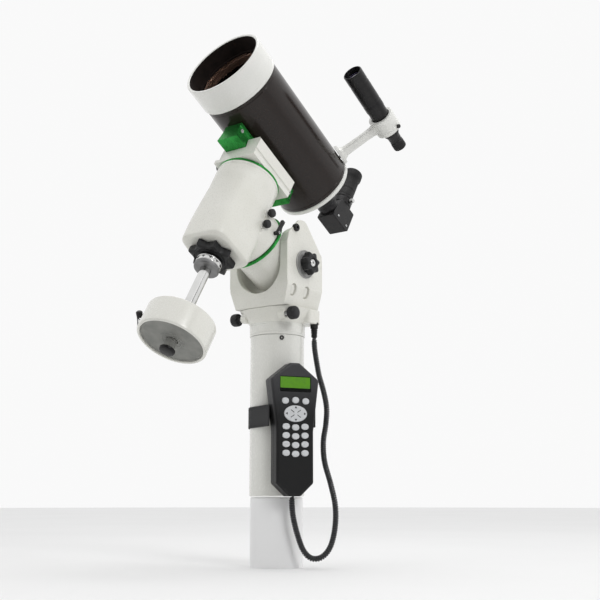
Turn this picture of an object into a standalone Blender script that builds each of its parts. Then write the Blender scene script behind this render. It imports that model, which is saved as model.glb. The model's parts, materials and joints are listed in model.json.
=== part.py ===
"""Equatorial mount on a pier column, with a short telescope in its saddle and a strapped hand controller.

Frame: metres, +Z up, origin at the centre of the pier's underside.
The celestial pole lies towards -Y and up, the altitude hinge runs along X,
and the counterweight hangs forwards and down in the home position.
"""
import math

import bmesh
import bpy
from mathutils import Matrix, Vector

# ---------------------------------------------------------------- general
GAP = 0.0003              # clearance between touching pieces
FINE = 40                 # sides of the large round pieces
MEDIUM = 24               # sides of the middle round pieces
COARSE = 12               # sides of the small round pieces
LATITUDE = math.radians(30.5)

# ---------------------------------------------------------------- pier and azimuth base
PIER_RADIUS = 0.045
PIER_WALL = 0.004
PIER_FOOT = 0.008
PIER_HEIGHT = 0.262
SPIGOT_LENGTH = 0.018
COLLAR_RADIUS = PIER_RADIUS + 0.0015
COLLAR_HEIGHT = 0.020
BASE_HEIGHT = 0.0455      # from the pier's top to the azimuth bearing face
BASE_TOP = PIER_HEIGHT + BASE_HEIGHT
BASE_HALF_WIDTH = 0.060
BASE_HALF_DEPTH = 0.049
REAR_BLOCK_BACK = 0.044
REAR_BLOCK_FRONT = 0.006
PIVOT_BOLT_RADIUS = 0.006
PIVOT_HEAD_RADIUS = 0.011
PIVOT_HEAD_HEIGHT = 0.006
SET_SCREW_RADIUS = 0.0025
SET_SCREW_HEIGHT = PIER_HEIGHT - 0.006
SET_SCREW_TURN = math.radians(-42.0)
AZ_KNOB_RADIUS = 0.011
AZ_KNOB_THICK = 0.014
AZ_KNOB_OUT = 0.0545
AZ_KNOB_Y = -0.035
AZ_KNOB_Z = BASE_TOP - 0.0135
AZ_SCREW_RADIUS = 0.003
AZ_SCREW_INNER = 0.028

# ---------------------------------------------------------------- fork and altitude hinge
WHEEL_RADIUS = 0.027      # polar worm wheel
WORM_RADIUS = 0.005
WORM_ROOM = 0.0035        # between the worm and the wall of the drum
RA_CAVITY_RADIUS = WHEEL_RADIUS + 2.0 * WORM_RADIUS + WORM_ROOM
RA_DRUM_WALL = 0.0045
RA_DRUM_RADIUS = RA_CAVITY_RADIUS + RA_DRUM_WALL
ARM_CLEARANCE = 0.0020    # between the polar drum and each arm
ARM_THICK = 0.0150
ALT_PIVOT = Vector((0.0, -0.005, BASE_TOP + 0.0725))
FORK_INNER = RA_DRUM_RADIUS + ARM_CLEARANCE
FORK_HALF_WIDTH = FORK_INNER + ARM_THICK
FORK_FLOOR = BASE_TOP + 0.0125
FORK_FRONT = -0.052
FORK_REAR = 0.044
FORK_SHOULDER = BASE_TOP + 0.0375
FORK_TOP = BASE_TOP + 0.1475
FORK_REAR_TOP = BASE_TOP + 0.0945
FORK_FRONT_TOP = BASE_TOP + 0.1205
FRONT_WALL = 0.012
FORK_CROWN = 0.0135        # radius of the rounded arm top
FORK_TAPER = 0.012
FORK_FOOT_INSET = 0.010
CRADLE_REACH = 0.06
CRADLE_STEPS = 12
FORK_BORE_BOTTOM = PIER_HEIGHT - 0.012
CRADLE_BOTTOM = BASE_TOP + 0.0235
RA_RING_PROUD = 0.0100    # how far the polar ring stands out of the drum
RELIEF_CLEARANCE = 0.0025
RELIEF_INNER = 0.0640     # radial range of the groove that lets the polar ring pass the arms
RELIEF_OUTER = 0.0800
RELIEF_FIRST = math.radians(-12.0)
RELIEF_LAST = math.radians(88.0)
RELIEF_STEPS = 14
RELIEF_DEPTH = RA_DRUM_RADIUS + RA_RING_PROUD + RELIEF_CLEARANCE
ALT_PIN_RADIUS = 0.008
ALT_PIN_INNER = RA_DRUM_RADIUS - 0.0110
STAR_RADIUS = 0.020
STAR_LOBE = 0.0032
STAR_THICK = 0.015
STAR_LOBES = 7
BOSS_RADIUS = 0.024
BOSS_THICK = 0.003
ARM_SCREW_RADIUS = 0.0065
ARM_SCREW_THICK = 0.004
ARM_SCREW_Y = -0.030
ARM_SCREW_Z = BASE_TOP + 0.1305

# ---------------------------------------------------------------- polar axis
RA_REAR = -0.044
RA_REAR_RADIUS = 0.034
RA_REAR_WALL = 0.009
RA_DRUM_START = 0.006
RA_FRONT = 0.0660
RA_FRONT_WALL = 0.010
RA_REAR_CAVITY_RADIUS = 0.0290
RA_SHAFT_RADIUS = 0.0105
RA_SHAFT_BORE = 0.0075
RA_SHAFT_REAR = -0.0475
RA_FLANGE_RADIUS = 0.030
RA_RING_RADIUS = RA_DRUM_RADIUS + RA_RING_PROUD
RA_RING_START = 0.0665
RA_RING_THICK = 0.0045
BEARING_RADIUS = 0.019
BEARING_WIDTH = 0.008
WHEEL_WIDTH = 0.010
WHEEL_CENTRE = 0.038
WORM_HALF = 0.013
MOTOR_RADIUS = 0.0080
MOTOR_OFFSET = 0.0198
MOTOR_LENGTH = 0.030
MOTOR_START = -0.026
SIGHT_RADIUS = 0.0068
SIGHT_REAR = -0.056
SIGHT_EYE_RADIUS = 0.0085
SIGHT_FRONT = 0.050

# ---------------------------------------------------------------- declination head
DEC_OFFSET = 0.134        # along the polar axis, from the altitude hinge to the declination axis
DEC_BOTTOM = -0.082
DEC_TOP = 0.0760
DEC_HALF_WIDTH = 0.046
DEC_HALF_DEPTH = 0.046
NECK_RADIUS = 0.054
RA_NECK_RADIUS = RA_RING_RADIUS - 0.003
RA_NECK_START = 0.038      # inside the head, measured from the declination axis
DEC_CAVITY_RADIUS = 0.0390
DEC_CAVITY_BOTTOM = -0.060
DEC_CAVITY_TOP = 0.060
BAR_RADIUS = 0.009
DEC_SHAFT_RADIUS = BAR_RADIUS + 0.0045
DEC_SHAFT_BOTTOM = -0.0975
DEC_BEARING_RADIUS = DEC_SHAFT_RADIUS + 0.0085
DEC_BEARING_WIDTH = 0.009
DEC_WHEEL_CENTRE = 0.036
DEC_WHEEL_RADIUS = 0.025
DEC_MOTOR_RADIUS = 0.0080
DEC_MOTOR_OFFSET = 0.0275
DEC_MOTOR_LENGTH = 0.042
DEC_MOTOR_START = -0.050
DEC_RING_THICK = 0.0040
DEC_FLANGE_RADIUS = 0.0295
CLUTCH_TOP = -0.0825
CLUTCH_THICK = 0.0145
CLUTCH_RADIUS = 0.0385
CLUTCH_LOBE = 0.0040
CLUTCH_LOBES = 6
LEVER_LENGTH = 0.026
LEVER_WIDTH = 0.0065
LEVER_THICK = 0.006
LEVER_OUT = RA_RING_RADIUS + 0.0015
LEVER_ALONG = 0.0795
THUMB_RADIUS = 0.0072
THUMB_LENGTH = 0.010
THUMB_NECK = 0.003
THUMB_OUT = 0.0495
THUMB_BACK = 0.029
THUMB_HEIGHTS = {"upper": 0.021, "lower": -0.003}

# ---------------------------------------------------------------- saddle and dovetail bar
SADDLE_BOTTOM = 0.0812
SADDLE_FLOOR = 0.1040
SADDLE_TOP = 0.1215
SADDLE_HALF_LENGTH = 0.052
SADDLE_LEFT = -0.038
SADDLE_RIGHT = 0.049
DOVETAIL_HALF_BOTTOM = 0.0220
DOVETAIL_HALF_TOP = 0.0180
DOVETAIL_FRONT = 0.078
DOVETAIL_REAR = -0.084
SADDLE_KNOB_ALONG = 0.030
SADDLE_KNOB_UP = 0.0945
SADDLE_KNOB_RADIUS = 0.0070
SADDLE_KNOB_LENGTH = 0.011
SADDLE_SCREW_RADIUS = 0.0025
JAW_TRAVEL = 0.0015
JAW_SPLIT = 0.0885
JAW_BACK_GAP = 0.003      # room behind the jaw's inner step
JAW_END_REACH = 0.016
SADDLE_SCREW_TIP = 0.011

# ---------------------------------------------------------------- counterweight
BAR_TOP = -0.0790
BAR_BOTTOM = -0.2720
LOCK_NUT_RADIUS = BAR_RADIUS + 0.012
LOCK_NUT_LENGTH = 0.020
WEIGHT_RADIUS = 0.0555
WEIGHT_TOP = -0.2140
WEIGHT_BOTTOM = -0.2600
WEIGHT_RIM = 0.0035
WEIGHT_KNOB_TURN = math.radians(160.0)
WEIGHT_KNOB_HEIGHT = -0.2260
WEIGHT_KNOB_REACH = 0.020
WEIGHT_EDGE = 0.0025
WEIGHT_SCREW_RADIUS = 0.0040
WEIGHT_SCREW_TIP = BAR_RADIUS + 0.003
WEIGHT_COLLAR_RADIUS = 0.0065
WEIGHT_TEE_RADIUS = 0.0045
WEIGHT_TEE_HALF = 0.0135
BAR_CAP_RADIUS = BAR_RADIUS + 0.0035
BAR_CAP_LENGTH = 0.006

# ---------------------------------------------------------------- telescope
TUBE_RADIUS = 0.0690
DOVETAIL_HEIGHT = 0.0330
SCOPE_HEIGHT = SADDLE_FLOOR + DOVETAIL_HEIGHT + TUBE_RADIUS   # tube axis above the polar axis
TUBE_WALL = 0.002
TUBE_REAR = -0.1330
TUBE_FRONT = 0.1050
FRONT_CELL_RADIUS = TUBE_RADIUS + 0.0025
FRONT_CELL_LENGTH = 0.0500
CELL_EDGE = 0.0015
CELL_SEAT = 0.012
CELL_LIP = 0.003
CELL_RETAINER = 0.010
REAR_CELL_RADIUS = TUBE_RADIUS + 0.0015
REAR_CELL_THICK = 0.0080
CORRECTOR_RADIUS = TUBE_RADIUS - 0.0050
CORRECTOR_THICK = 0.0060
CORRECTOR_BULGE = 0.003
MIRROR_RADIUS = TUBE_RADIUS - 0.0070
MIRROR_THICK = 0.0140
PORT_RADIUS = 0.0165
FOCUS_RADIUS = 0.0090
FOCUS_LENGTH = 0.0240
FOCUS_X = -0.034
FOCUS_Y = 0.022
DIAGONAL_Z = -0.221
DIAGONAL_HALF = 0.0235
DIAGONAL_TUBE = 0.0190
DIAGONAL_HALF_WIDTH = 0.0190
DIAGONAL_DRAW = 0.024      # length of the tube that takes the eyepiece
EYEPIECE_TOP = 0.115
EYEPIECE_RADIUS = 0.0165
EYE_CUP_RADIUS = 0.0185
FINDER_TURN = math.radians(39.0)
FINDER_REACH = TUBE_RADIUS + 0.101
FINDER_FRONT = 0.0
FINDER_REAR = -0.178
FINDER_RADIUS = 0.0165
FINDER_RING_CENTRE = -0.118
FINDER_RING_HALF = 0.017
FINDER_RING_RADIUS = 0.0235
FINDER_STALK_HALF = 0.0085
FINDER_FOOT_THICK = 0.009
FINDER_SLIM = 0.0115
FINDER_SLIM_END = -0.150
FINDER_BODY_START = -0.140
FINDER_BODY_END = -0.086

# ---------------------------------------------------------------- hand controller
HANDSET_TURN = math.radians(-29.0)
HANDSET_HALF_LENGTH = 0.1055
HANDSET_BOTTOM = 0.0
HANDSET_SHOULDER = 0.0420
HANDSET_SHOULDER_Y = 0.0785
HANDSET_WAIST = 0.0320
HANDSET_WAIST_Y = -0.0040
HANDSET_CROWN = 0.0080
HANDSET_TAIL = 0.0100
HANDSET_TAIL_RISE = 0.0200
HANDSET_DEPTH = 0.0140
HANDSET_REACH = PIER_RADIUS + HANDSET_DEPTH + 0.005
SHELL_WALL = 0.0020
KEY_PROUD = 0.0012
KEYPAD_HALF_WIDTH = 0.0260
NUMBER_KEYS = (-0.0470, 0.0095)
SOFT_KEYS = (0.0385, 0.0505)
MAT_HALF_WIDTH = 0.0285
MAT_RANGE = (-0.0500, 0.0540)
MAT_TOP = 0.0108
MAT_THICK = 0.0016
PAD_HALF_WIDTH = 0.0200
PAD_HALF_HEIGHT = 0.0134
PAD_CENTRE = 0.0238
PAD_ROOM_X = 0.0026       # clear space round the pad in the mat below it
PAD_ROOM_Y = 0.0006
PAD_CROWN = 0.0008
DISPLAY_BACK = 0.003
DISPLAY_SUNK = 0.001
BOARD_TOP = -0.001
BOARD_THICK = 0.002
SHELL_EDGE = 0.003
DISPLAY_HALF_WIDTH = 0.0270
DISPLAY_HALF_HEIGHT = 0.0125
DISPLAY_CENTRE = 0.0710
STRAP_BOTTOM = 0.1095
STRAP_HEIGHT = 0.0345
STRAP_THICK = 0.0018
STRAP_HALF_WIDTH = 0.0380
STRAP_START = math.radians(80.0)     # from the controller's direction to the first end
STRAP_SWEEP = math.radians(200.0)
STRAP_STEPS = 44
STRAP_EDGE_RADIUS = 0.0005

# ---------------------------------------------------------------- lead of the hand controller
CORD_RADIUS = 0.0049
CORD_X = 0.0530
CORD_Y = 0.0330
RELIEF_TOP = PIER_HEIGHT + 0.025
RELIEF_LENGTH = 0.026
RELIEF_RADIUS = 1.3 * CORD_RADIUS
RELIEF_TAPER = 0.016
CORD_SPACING = 0.0235
CORD_ROUTE = (
    (0.0530, 0.0330, 0.2607), (0.0533, 0.0335, 0.2450), (0.0560, 0.0350, 0.2230),
    (0.0600, 0.0370, 0.1980), (0.0680, 0.0380, 0.1720), (0.0750, 0.0370, 0.1440),
    (0.0755, 0.0340, 0.1160), (0.0740, 0.0290, 0.0880), (0.0790, 0.0250, 0.0560),
    (0.0920, 0.0240, 0.0190), (0.1020, 0.0220, -0.0150), (0.1040, 0.0180, -0.0480),
    (0.1000, 0.0110, -0.0770), (0.0900, 0.0020, -0.0930), (0.0770, -0.0080, -0.0950),
    (0.0670, -0.0160, -0.0830), (0.0610, -0.0230, -0.0600), (0.0575, -0.0290, -0.0350),
    (0.0560, -0.0310, -0.0150), (0.0560, -0.0310, -0.0003),
)


# ================================================================ frames
def empty(name, location, turn_x=0.0, turn_z=0.0):
    """An axis system that the pieces of one assembly are placed in."""
    frame = bpy.data.objects.new(name, None)
    frame.location = location
    frame.rotation_euler = (turn_x, 0.0, turn_z)
    bpy.context.scene.collection.objects.link(frame)
    return frame


def along_pole(distance):
    """The point at this distance up the polar axis from the altitude hinge."""
    return ALT_PIVOT + distance * Vector((0.0, -math.cos(LATITUDE), math.sin(LATITUDE)))


# ================================================================ materials
def material(name, colour, roughness, metallic=0.0):
    made = bpy.data.materials.new(name)
    made.use_nodes = True
    made.diffuse_color = (*colour, 1.0)
    shader = made.node_tree.nodes["Principled BSDF"]
    shader.inputs["Base Color"].default_value = (*colour, 1.0)
    shader.inputs["Roughness"].default_value = roughness
    shader.inputs["Metallic"].default_value = metallic
    return made


FINISHES = {
    "enamel": ((0.80, 0.80, 0.74), 0.35, 0.0),
    "green": ((0.05, 0.34, 0.07), 0.30, 0.5),
    "black_plastic": ((0.02, 0.02, 0.022), 0.45, 0.0),
    "black_tube": ((0.012, 0.010, 0.012), 0.20, 0.0),
    "steel": ((0.72, 0.72, 0.72), 0.22, 1.0),
    "aluminium": ((0.60, 0.61, 0.62), 0.35, 1.0),
    "brass": ((0.65, 0.48, 0.20), 0.35, 1.0),
    "glass": ((0.10, 0.12, 0.13), 0.05, 0.0),
    "mirror": ((0.85, 0.86, 0.88), 0.04, 1.0),
    "board": ((0.03, 0.16, 0.07), 0.50, 0.0),
    "key_rubber": ((0.72, 0.73, 0.74), 0.60, 0.0),
    "webbing": ((0.015, 0.015, 0.017), 0.85, 0.0),
    "grey_face": ((0.22, 0.23, 0.21), 0.55, 0.0),
}


# ================================================================ mesh building
def finish(bm, name, frame, finish_name, place=Matrix.Identity(4)):
    """Turn a bmesh into a named, shaded object that hangs in a frame."""
    bmesh.ops.recalc_face_normals(bm, faces=bm.faces)
    mesh = bpy.data.meshes.new(name)
    bm.to_mesh(mesh)
    bm.free()
    mesh.shade_smooth()
    mesh.set_sharp_from_angle(angle=math.radians(35.0))
    made = bpy.data.objects.new(name, mesh)
    bpy.context.scene.collection.objects.link(made)
    made.parent = frame
    made.matrix_local = place
    made.data.materials.append(material(name, *FINISHES[finish_name]))
    return made


def turned(profile, sides, closed=False):
    """A solid of revolution about local Z. The profile is (radius, height) pairs."""
    bm = bmesh.new()
    rings = []
    for radius, height in profile:
        if radius == 0.0:
            rings.append([bm.verts.new((0.0, 0.0, height))])
            continue
        angles = [2.0 * math.pi * i / sides for i in range(sides)]
        rings.append([bm.verts.new((radius * math.cos(a), radius * math.sin(a), height)) for a in angles])
    pairs = list(zip(rings, rings[1:]))
    if closed:
        pairs.append((rings[-1], rings[0]))
    for low, high in pairs:
        for i in range(sides):
            j = (i + 1) % sides
            if len(low) == 1:
                bm.faces.new((low[0], high[i], high[j]))
            elif len(high) == 1:
                bm.faces.new((low[i], low[j], high[0]))
            else:
                bm.faces.new((low[i], low[j], high[j], high[i]))
    return bm


def ring(outer, inner, low, high, sides):
    """A plain tube or washer."""
    return turned([(inner, low), (outer, low), (outer, high), (inner, high)], sides, closed=True)


def rod(radius, low, high, sides, chamfer=0.0):
    """A solid round bar, with a chamfer at both ends where one is given."""
    if chamfer == 0.0:
        return turned([(0.0, low), (radius, low), (radius, high), (0.0, high)], sides)
    return turned([(0.0, low), (radius - chamfer, low), (radius, low + chamfer),
                   (radius, high - chamfer), (radius - chamfer, high), (0.0, high)], sides)


def lofted(loops):
    """A solid through a stack of loops with the same number of points, capped at both ends."""
    bm = bmesh.new()
    rows = [[bm.verts.new(point) for point in loop] for loop in loops]
    count = len(rows[0])
    for low, high in zip(rows, rows[1:]):
        for i in range(count):
            j = (i + 1) % count
            bm.faces.new((low[i], low[j], high[j], high[i]))
    bm.faces.new(list(reversed(rows[0])))
    bm.faces.new(rows[-1])
    return bm


def extruded(outline, low, high):
    """A prism along local Z."""
    return lofted([[(x, y, low) for x, y in outline], [(x, y, high) for x, y in outline]])


def block(low, high):
    """A plain box between two corners."""
    outline = [(low[0], low[1]), (high[0], low[1]), (high[0], high[1]), (low[0], high[1])]
    return extruded(outline, low[2], high[2])


def superellipse(half_x, half_y, power, sides, height, shift_y=0.0):
    """A loop between an ellipse (power 2) and a rounded rectangle (a higher power)."""
    loop = []
    for i in range(sides):
        angle = 2.0 * math.pi * i / sides
        c = math.cos(angle)
        s = math.sin(angle)
        x = half_x * math.copysign(abs(c) ** (2.0 / power), c)
        y = half_y * math.copysign(abs(s) ** (2.0 / power), s)
        loop.append((x, y + shift_y, height))
    return loop


def lobed(radius, lobe, count, sides):
    """The outline of a hand knob with round lobes."""
    points = []
    for i in range(sides):
        angle = 2.0 * math.pi * i / sides
        reach = radius - lobe * 0.5 * (1.0 - math.cos(count * angle))
        points.append((reach * math.cos(angle), reach * math.sin(angle)))
    return points


def knob(outline, thickness, edge):
    """A knob body with eased edges, from local Z = 0 upwards."""
    layers = ((0.93, 0.0), (1.0, edge), (1.0, thickness - edge), (0.88, thickness))
    return lofted([[(x * scale, y * scale, z) for x, y in outline] for scale, z in layers])


def combine(target, tool_bm, operation, frame, place=Matrix.Identity(4)):
    """Boolean a hidden tool shape into an object."""
    tool = finish(tool_bm, target.name + "_tool", frame, "steel", place)
    tool.hide_render = True
    tool.display_type = "WIRE"
    step = target.modifiers.new(tool.name, "BOOLEAN")
    step.operation = operation
    step.solver = "MANIFOLD"
    step.object = tool


def facing(axis, at=(0.0, 0.0, 0.0)):
    """A placing whose local Z runs along the given axis."""
    return Matrix.Translation(at) @ Vector(axis).to_track_quat("Z", "Y").to_matrix().to_4x4()


# ================================================================ pier and azimuth base
def build_pier():
    spigot = PIER_RADIUS - PIER_WALL - GAP
    top = PIER_HEIGHT
    profile = [(0.0, 0.0), (PIER_RADIUS, 0.0), (PIER_RADIUS, top), (PIER_RADIUS - PIER_WALL, top),
               (PIER_RADIUS - PIER_WALL, PIER_FOOT), (0.0, PIER_FOOT)]
    pier = finish(turned(profile, FINE), "pier_column", None, "enamel")
    outward = (math.cos(SET_SCREW_TURN), math.sin(SET_SCREW_TURN), 0.0)
    at_screw = facing(outward, (0.0, 0.0, SET_SCREW_HEIGHT))
    hole = rod(SET_SCREW_RADIUS + GAP, PIER_RADIUS - 2.0 * PIER_WALL, PIER_RADIUS + PIER_WALL, COARSE)
    combine(pier, hole, "DIFFERENCE", None, at_screw)
    head = PIER_RADIUS + GAP
    inner = PIER_RADIUS - PIER_WALL + 2.0 * GAP
    screw = turned([(0.0, inner), (SET_SCREW_RADIUS, inner), (SET_SCREW_RADIUS, head),
                    (1.5 * SET_SCREW_RADIUS, head), (1.5 * SET_SCREW_RADIUS, head + 0.0015),
                    (0.0, head + 0.0015)], COARSE)
    finish(screw, "pier_set_screw", None, "black_plastic", at_screw)
    build_base(spigot)


def build_base(spigot):
    low = PIER_HEIGHT + GAP
    collar_top = low + COLLAR_HEIGHT
    loops = [superellipse(COLLAR_RADIUS, COLLAR_RADIUS, 2.0, FINE, low),
             superellipse(COLLAR_RADIUS, COLLAR_RADIUS, 2.0, FINE, collar_top),
             superellipse(BASE_HALF_WIDTH * 0.90, BASE_HALF_DEPTH * 0.97, 2.6, FINE,
                          0.5 * (collar_top + BASE_TOP)),
             superellipse(BASE_HALF_WIDTH, BASE_HALF_DEPTH, 3.4, FINE, BASE_TOP)]
    base = finish(lofted(loops), "azimuth_base", None, "enamel")
    rear_middle = 0.5 * (REAR_BLOCK_FRONT + REAR_BLOCK_BACK)
    rear_half = 0.5 * (REAR_BLOCK_BACK - REAR_BLOCK_FRONT)
    rear = [superellipse(BASE_HALF_WIDTH + 0.001, rear_half, 7.0, MEDIUM, z, rear_middle)
            for z in (collar_top + 0.001, BASE_TOP - GAP)]
    combine(base, lofted(rear), "UNION", None)
    combine(base, rod(spigot, low - SPIGOT_LENGTH, low + 0.004, FINE), "UNION", None)
    combine(base, rod(PIVOT_BOLT_RADIUS + GAP, low - 0.03, BASE_TOP + 0.01, COARSE), "DIFFERENCE", None)
    for side in (-1.0, 1.0):
        hole = rod(AZ_SCREW_RADIUS + GAP, AZ_SCREW_INNER - 0.001, AZ_KNOB_OUT + 0.01, COARSE)
        at_knob = facing((side, 0.0, 0.0), (0.0, AZ_KNOB_Y, AZ_KNOB_Z))
        combine(base, hole, "DIFFERENCE", None, at_knob)
        build_azimuth_knob(at_knob, "left" if side < 0.0 else "right")
    seat = rod(RELIEF_RADIUS + GAP, collar_top - 0.01, RELIEF_TOP + GAP, COARSE)
    combine(base, seat, "DIFFERENCE", None, Matrix.Translation((CORD_X, CORD_Y, 0.0)))


def build_azimuth_knob(place, side):
    out = AZ_KNOB_OUT
    far = out + AZ_KNOB_THICK
    edge = 0.0015
    profile = [(0.0, AZ_SCREW_INNER), (AZ_SCREW_RADIUS, AZ_SCREW_INNER), (AZ_SCREW_RADIUS, out - 0.003),
               (0.6 * AZ_KNOB_RADIUS, out - 0.003), (0.6 * AZ_KNOB_RADIUS, out), (AZ_KNOB_RADIUS - edge, out),
               (AZ_KNOB_RADIUS, out + edge), (AZ_KNOB_RADIUS, far - edge), (AZ_KNOB_RADIUS - edge, far),
               (0.0, far)]
    finish(turned(profile, COARSE), "azimuth_knob_" + side, None, "black_plastic", place)


# ================================================================ fork
def arm_outline():
    """The fork's outline from the side, as (y, z) points."""
    y0 = ALT_PIVOT.y
    points = [(FORK_FRONT + 0.004, BASE_TOP + GAP), (FORK_FRONT, FORK_SHOULDER),
              (FORK_FRONT, FORK_FRONT_TOP - 0.016), (FORK_FRONT + 0.005, FORK_FRONT_TOP)]
    crown = FORK_CROWN
    for i in range(5):
        angle = math.radians(150.0 - 26.0 * i)
        points.append((y0 - 0.006 + crown * math.cos(angle) * 1.25, FORK_TOP - crown + crown * math.sin(angle)))
    points += [(FORK_REAR - 0.001, FORK_REAR_TOP), (FORK_REAR, FORK_REAR_TOP - 0.008),
               (FORK_REAR, BASE_TOP + GAP)]
    return points


def ring_sweep():
    """The sector that the polar ring passes through between the altitude limits, as (y, z) points."""
    step = (RELIEF_LAST - RELIEF_FIRST) / RELIEF_STEPS
    rims = []
    for reach in (RELIEF_INNER, RELIEF_OUTER):
        rises = [RELIEF_FIRST + step * i for i in range(RELIEF_STEPS + 1)]
        rims.append([(ALT_PIVOT.y - reach * math.cos(a), ALT_PIVOT.z + reach * math.sin(a)) for a in rises])
    return rims[0] + rims[1][::-1]


def cradle_outline():
    """The front opening seen along the mount: a half round under two straight sides, as (x, z) points."""
    axis_z = CRADLE_BOTTOM + FORK_INNER
    turns = [math.pi * (1.0 + i / CRADLE_STEPS) for i in range(CRADLE_STEPS + 1)]
    low = [(FORK_INNER * math.cos(a), axis_z + FORK_INNER * math.sin(a)) for a in turns]
    return low + [(FORK_INNER, FORK_TOP + 0.02), (-FORK_INNER, FORK_TOP + 0.02)]


def build_fork():
    turn = Matrix(((0.0, 0.0, 1.0, 0.0), (1.0, 0.0, 0.0, 0.0), (0.0, 1.0, 0.0, 0.0), (0.0, 0.0, 0.0, 1.0)))
    fork = finish(extruded(arm_outline(), -FORK_HALF_WIDTH, FORK_HALF_WIDTH), "fork_casting",
                  azimuth_frame, "enamel", turn)
    inner = block((-FORK_INNER, FORK_FRONT + FRONT_WALL, FORK_FLOOR),
                  (FORK_INNER, FORK_REAR + 0.02, FORK_TOP + 0.02))
    combine(fork, inner, "DIFFERENCE", azimuth_frame)
    combine(fork, extruded(cradle_outline(), 0.0, CRADLE_REACH), "DIFFERENCE", azimuth_frame,
            Matrix(((1.0, 0.0, 0.0, 0.0), (0.0, 0.0, -1.0, 0.0), (0.0, 1.0, 0.0, 0.0), (0.0, 0.0, 0.0, 1.0))))
    combine(fork, extruded(ring_sweep(), -RELIEF_DEPTH, RELIEF_DEPTH), "DIFFERENCE", azimuth_frame, turn)
    boss = rod(BOSS_RADIUS, FORK_HALF_WIDTH - 0.004, FORK_HALF_WIDTH + BOSS_THICK, MEDIUM)
    combine(fork, boss, "UNION", azimuth_frame, facing((1.0, 0.0, 0.0), ALT_PIVOT))
    for side in (-1.0, 1.0):
        reach = 0.07
        taper = extruded([(0.0, BASE_TOP - 0.001), (FORK_TAPER, BASE_TOP - 0.001), (FORK_TAPER, FORK_SHOULDER)],
                         min(0.0, side * reach), max(0.0, side * reach))
        lean = Matrix(((side, 0.0, 0.0, side * (FORK_HALF_WIDTH - FORK_FOOT_INSET)), (0.0, 0.0, -side, 0.0),
                       (0.0, 1.0, 0.0, 0.0), (0.0, 0.0, 0.0, 1.0)))
        combine(fork, taper, "DIFFERENCE", azimuth_frame, lean)
    hinge = rod(ALT_PIN_RADIUS + GAP, -0.1, 0.1, MEDIUM)
    combine(fork, hinge, "DIFFERENCE", azimuth_frame, facing((1.0, 0.0, 0.0), ALT_PIVOT))
    bolt = turned([(0.0, FORK_BORE_BOTTOM), (PIVOT_BOLT_RADIUS + GAP, FORK_BORE_BOTTOM),
                   (PIVOT_BOLT_RADIUS + GAP, FORK_FLOOR - PIVOT_HEAD_HEIGHT - GAP),
                   (PIVOT_HEAD_RADIUS + GAP, FORK_FLOOR - PIVOT_HEAD_HEIGHT - GAP),
                   (PIVOT_HEAD_RADIUS + GAP, FORK_FLOOR + 0.01), (0.0, FORK_FLOOR + 0.01)], COARSE)
    combine(fork, bolt, "DIFFERENCE", azimuth_frame)
    head = FORK_FLOOR - PIVOT_HEAD_HEIGHT
    shank = turned([(0.0, FORK_BORE_BOTTOM), (PIVOT_BOLT_RADIUS, FORK_BORE_BOTTOM),
                    (PIVOT_BOLT_RADIUS, head), (PIVOT_HEAD_RADIUS, head),
                    (PIVOT_HEAD_RADIUS, FORK_FLOOR - GAP), (0.0, FORK_FLOOR - GAP)], COARSE)
    finish(shank, "azimuth_pivot_bolt", azimuth_frame, "steel")
    build_altitude_hinge()


def build_altitude_hinge():
    for side, name in ((-1.0, "left"), (1.0, "right")):
        place = facing((side, 0.0, 0.0), ALT_PIVOT)
        pin = rod(ALT_PIN_RADIUS, ALT_PIN_INNER, FORK_HALF_WIDTH - GAP, MEDIUM, 0.0005)
        finish(pin, "altitude_pivot_" + name, azimuth_frame, "steel", place)
    low = FORK_HALF_WIDTH + GAP
    star = knob(lobed(STAR_RADIUS, STAR_LOBE, STAR_LOBES, 42), STAR_THICK, 0.003)
    lift = Matrix.Translation((low + BOSS_THICK, 0.0, 0.0)) @ Matrix.Rotation(math.pi / 2.0, 4, "Y")
    finish(star, "altitude_lock_knob", azimuth_frame, "black_plastic", Matrix.Translation(ALT_PIVOT) @ lift)
    screw = rod(ARM_SCREW_RADIUS, low, low + ARM_SCREW_THICK, COARSE, 0.001)
    finish(screw, "arm_screw", azimuth_frame, "black_plastic",
           facing((1.0, 0.0, 0.0), (0.0, ARM_SCREW_Y, ARM_SCREW_Z)))


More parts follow.
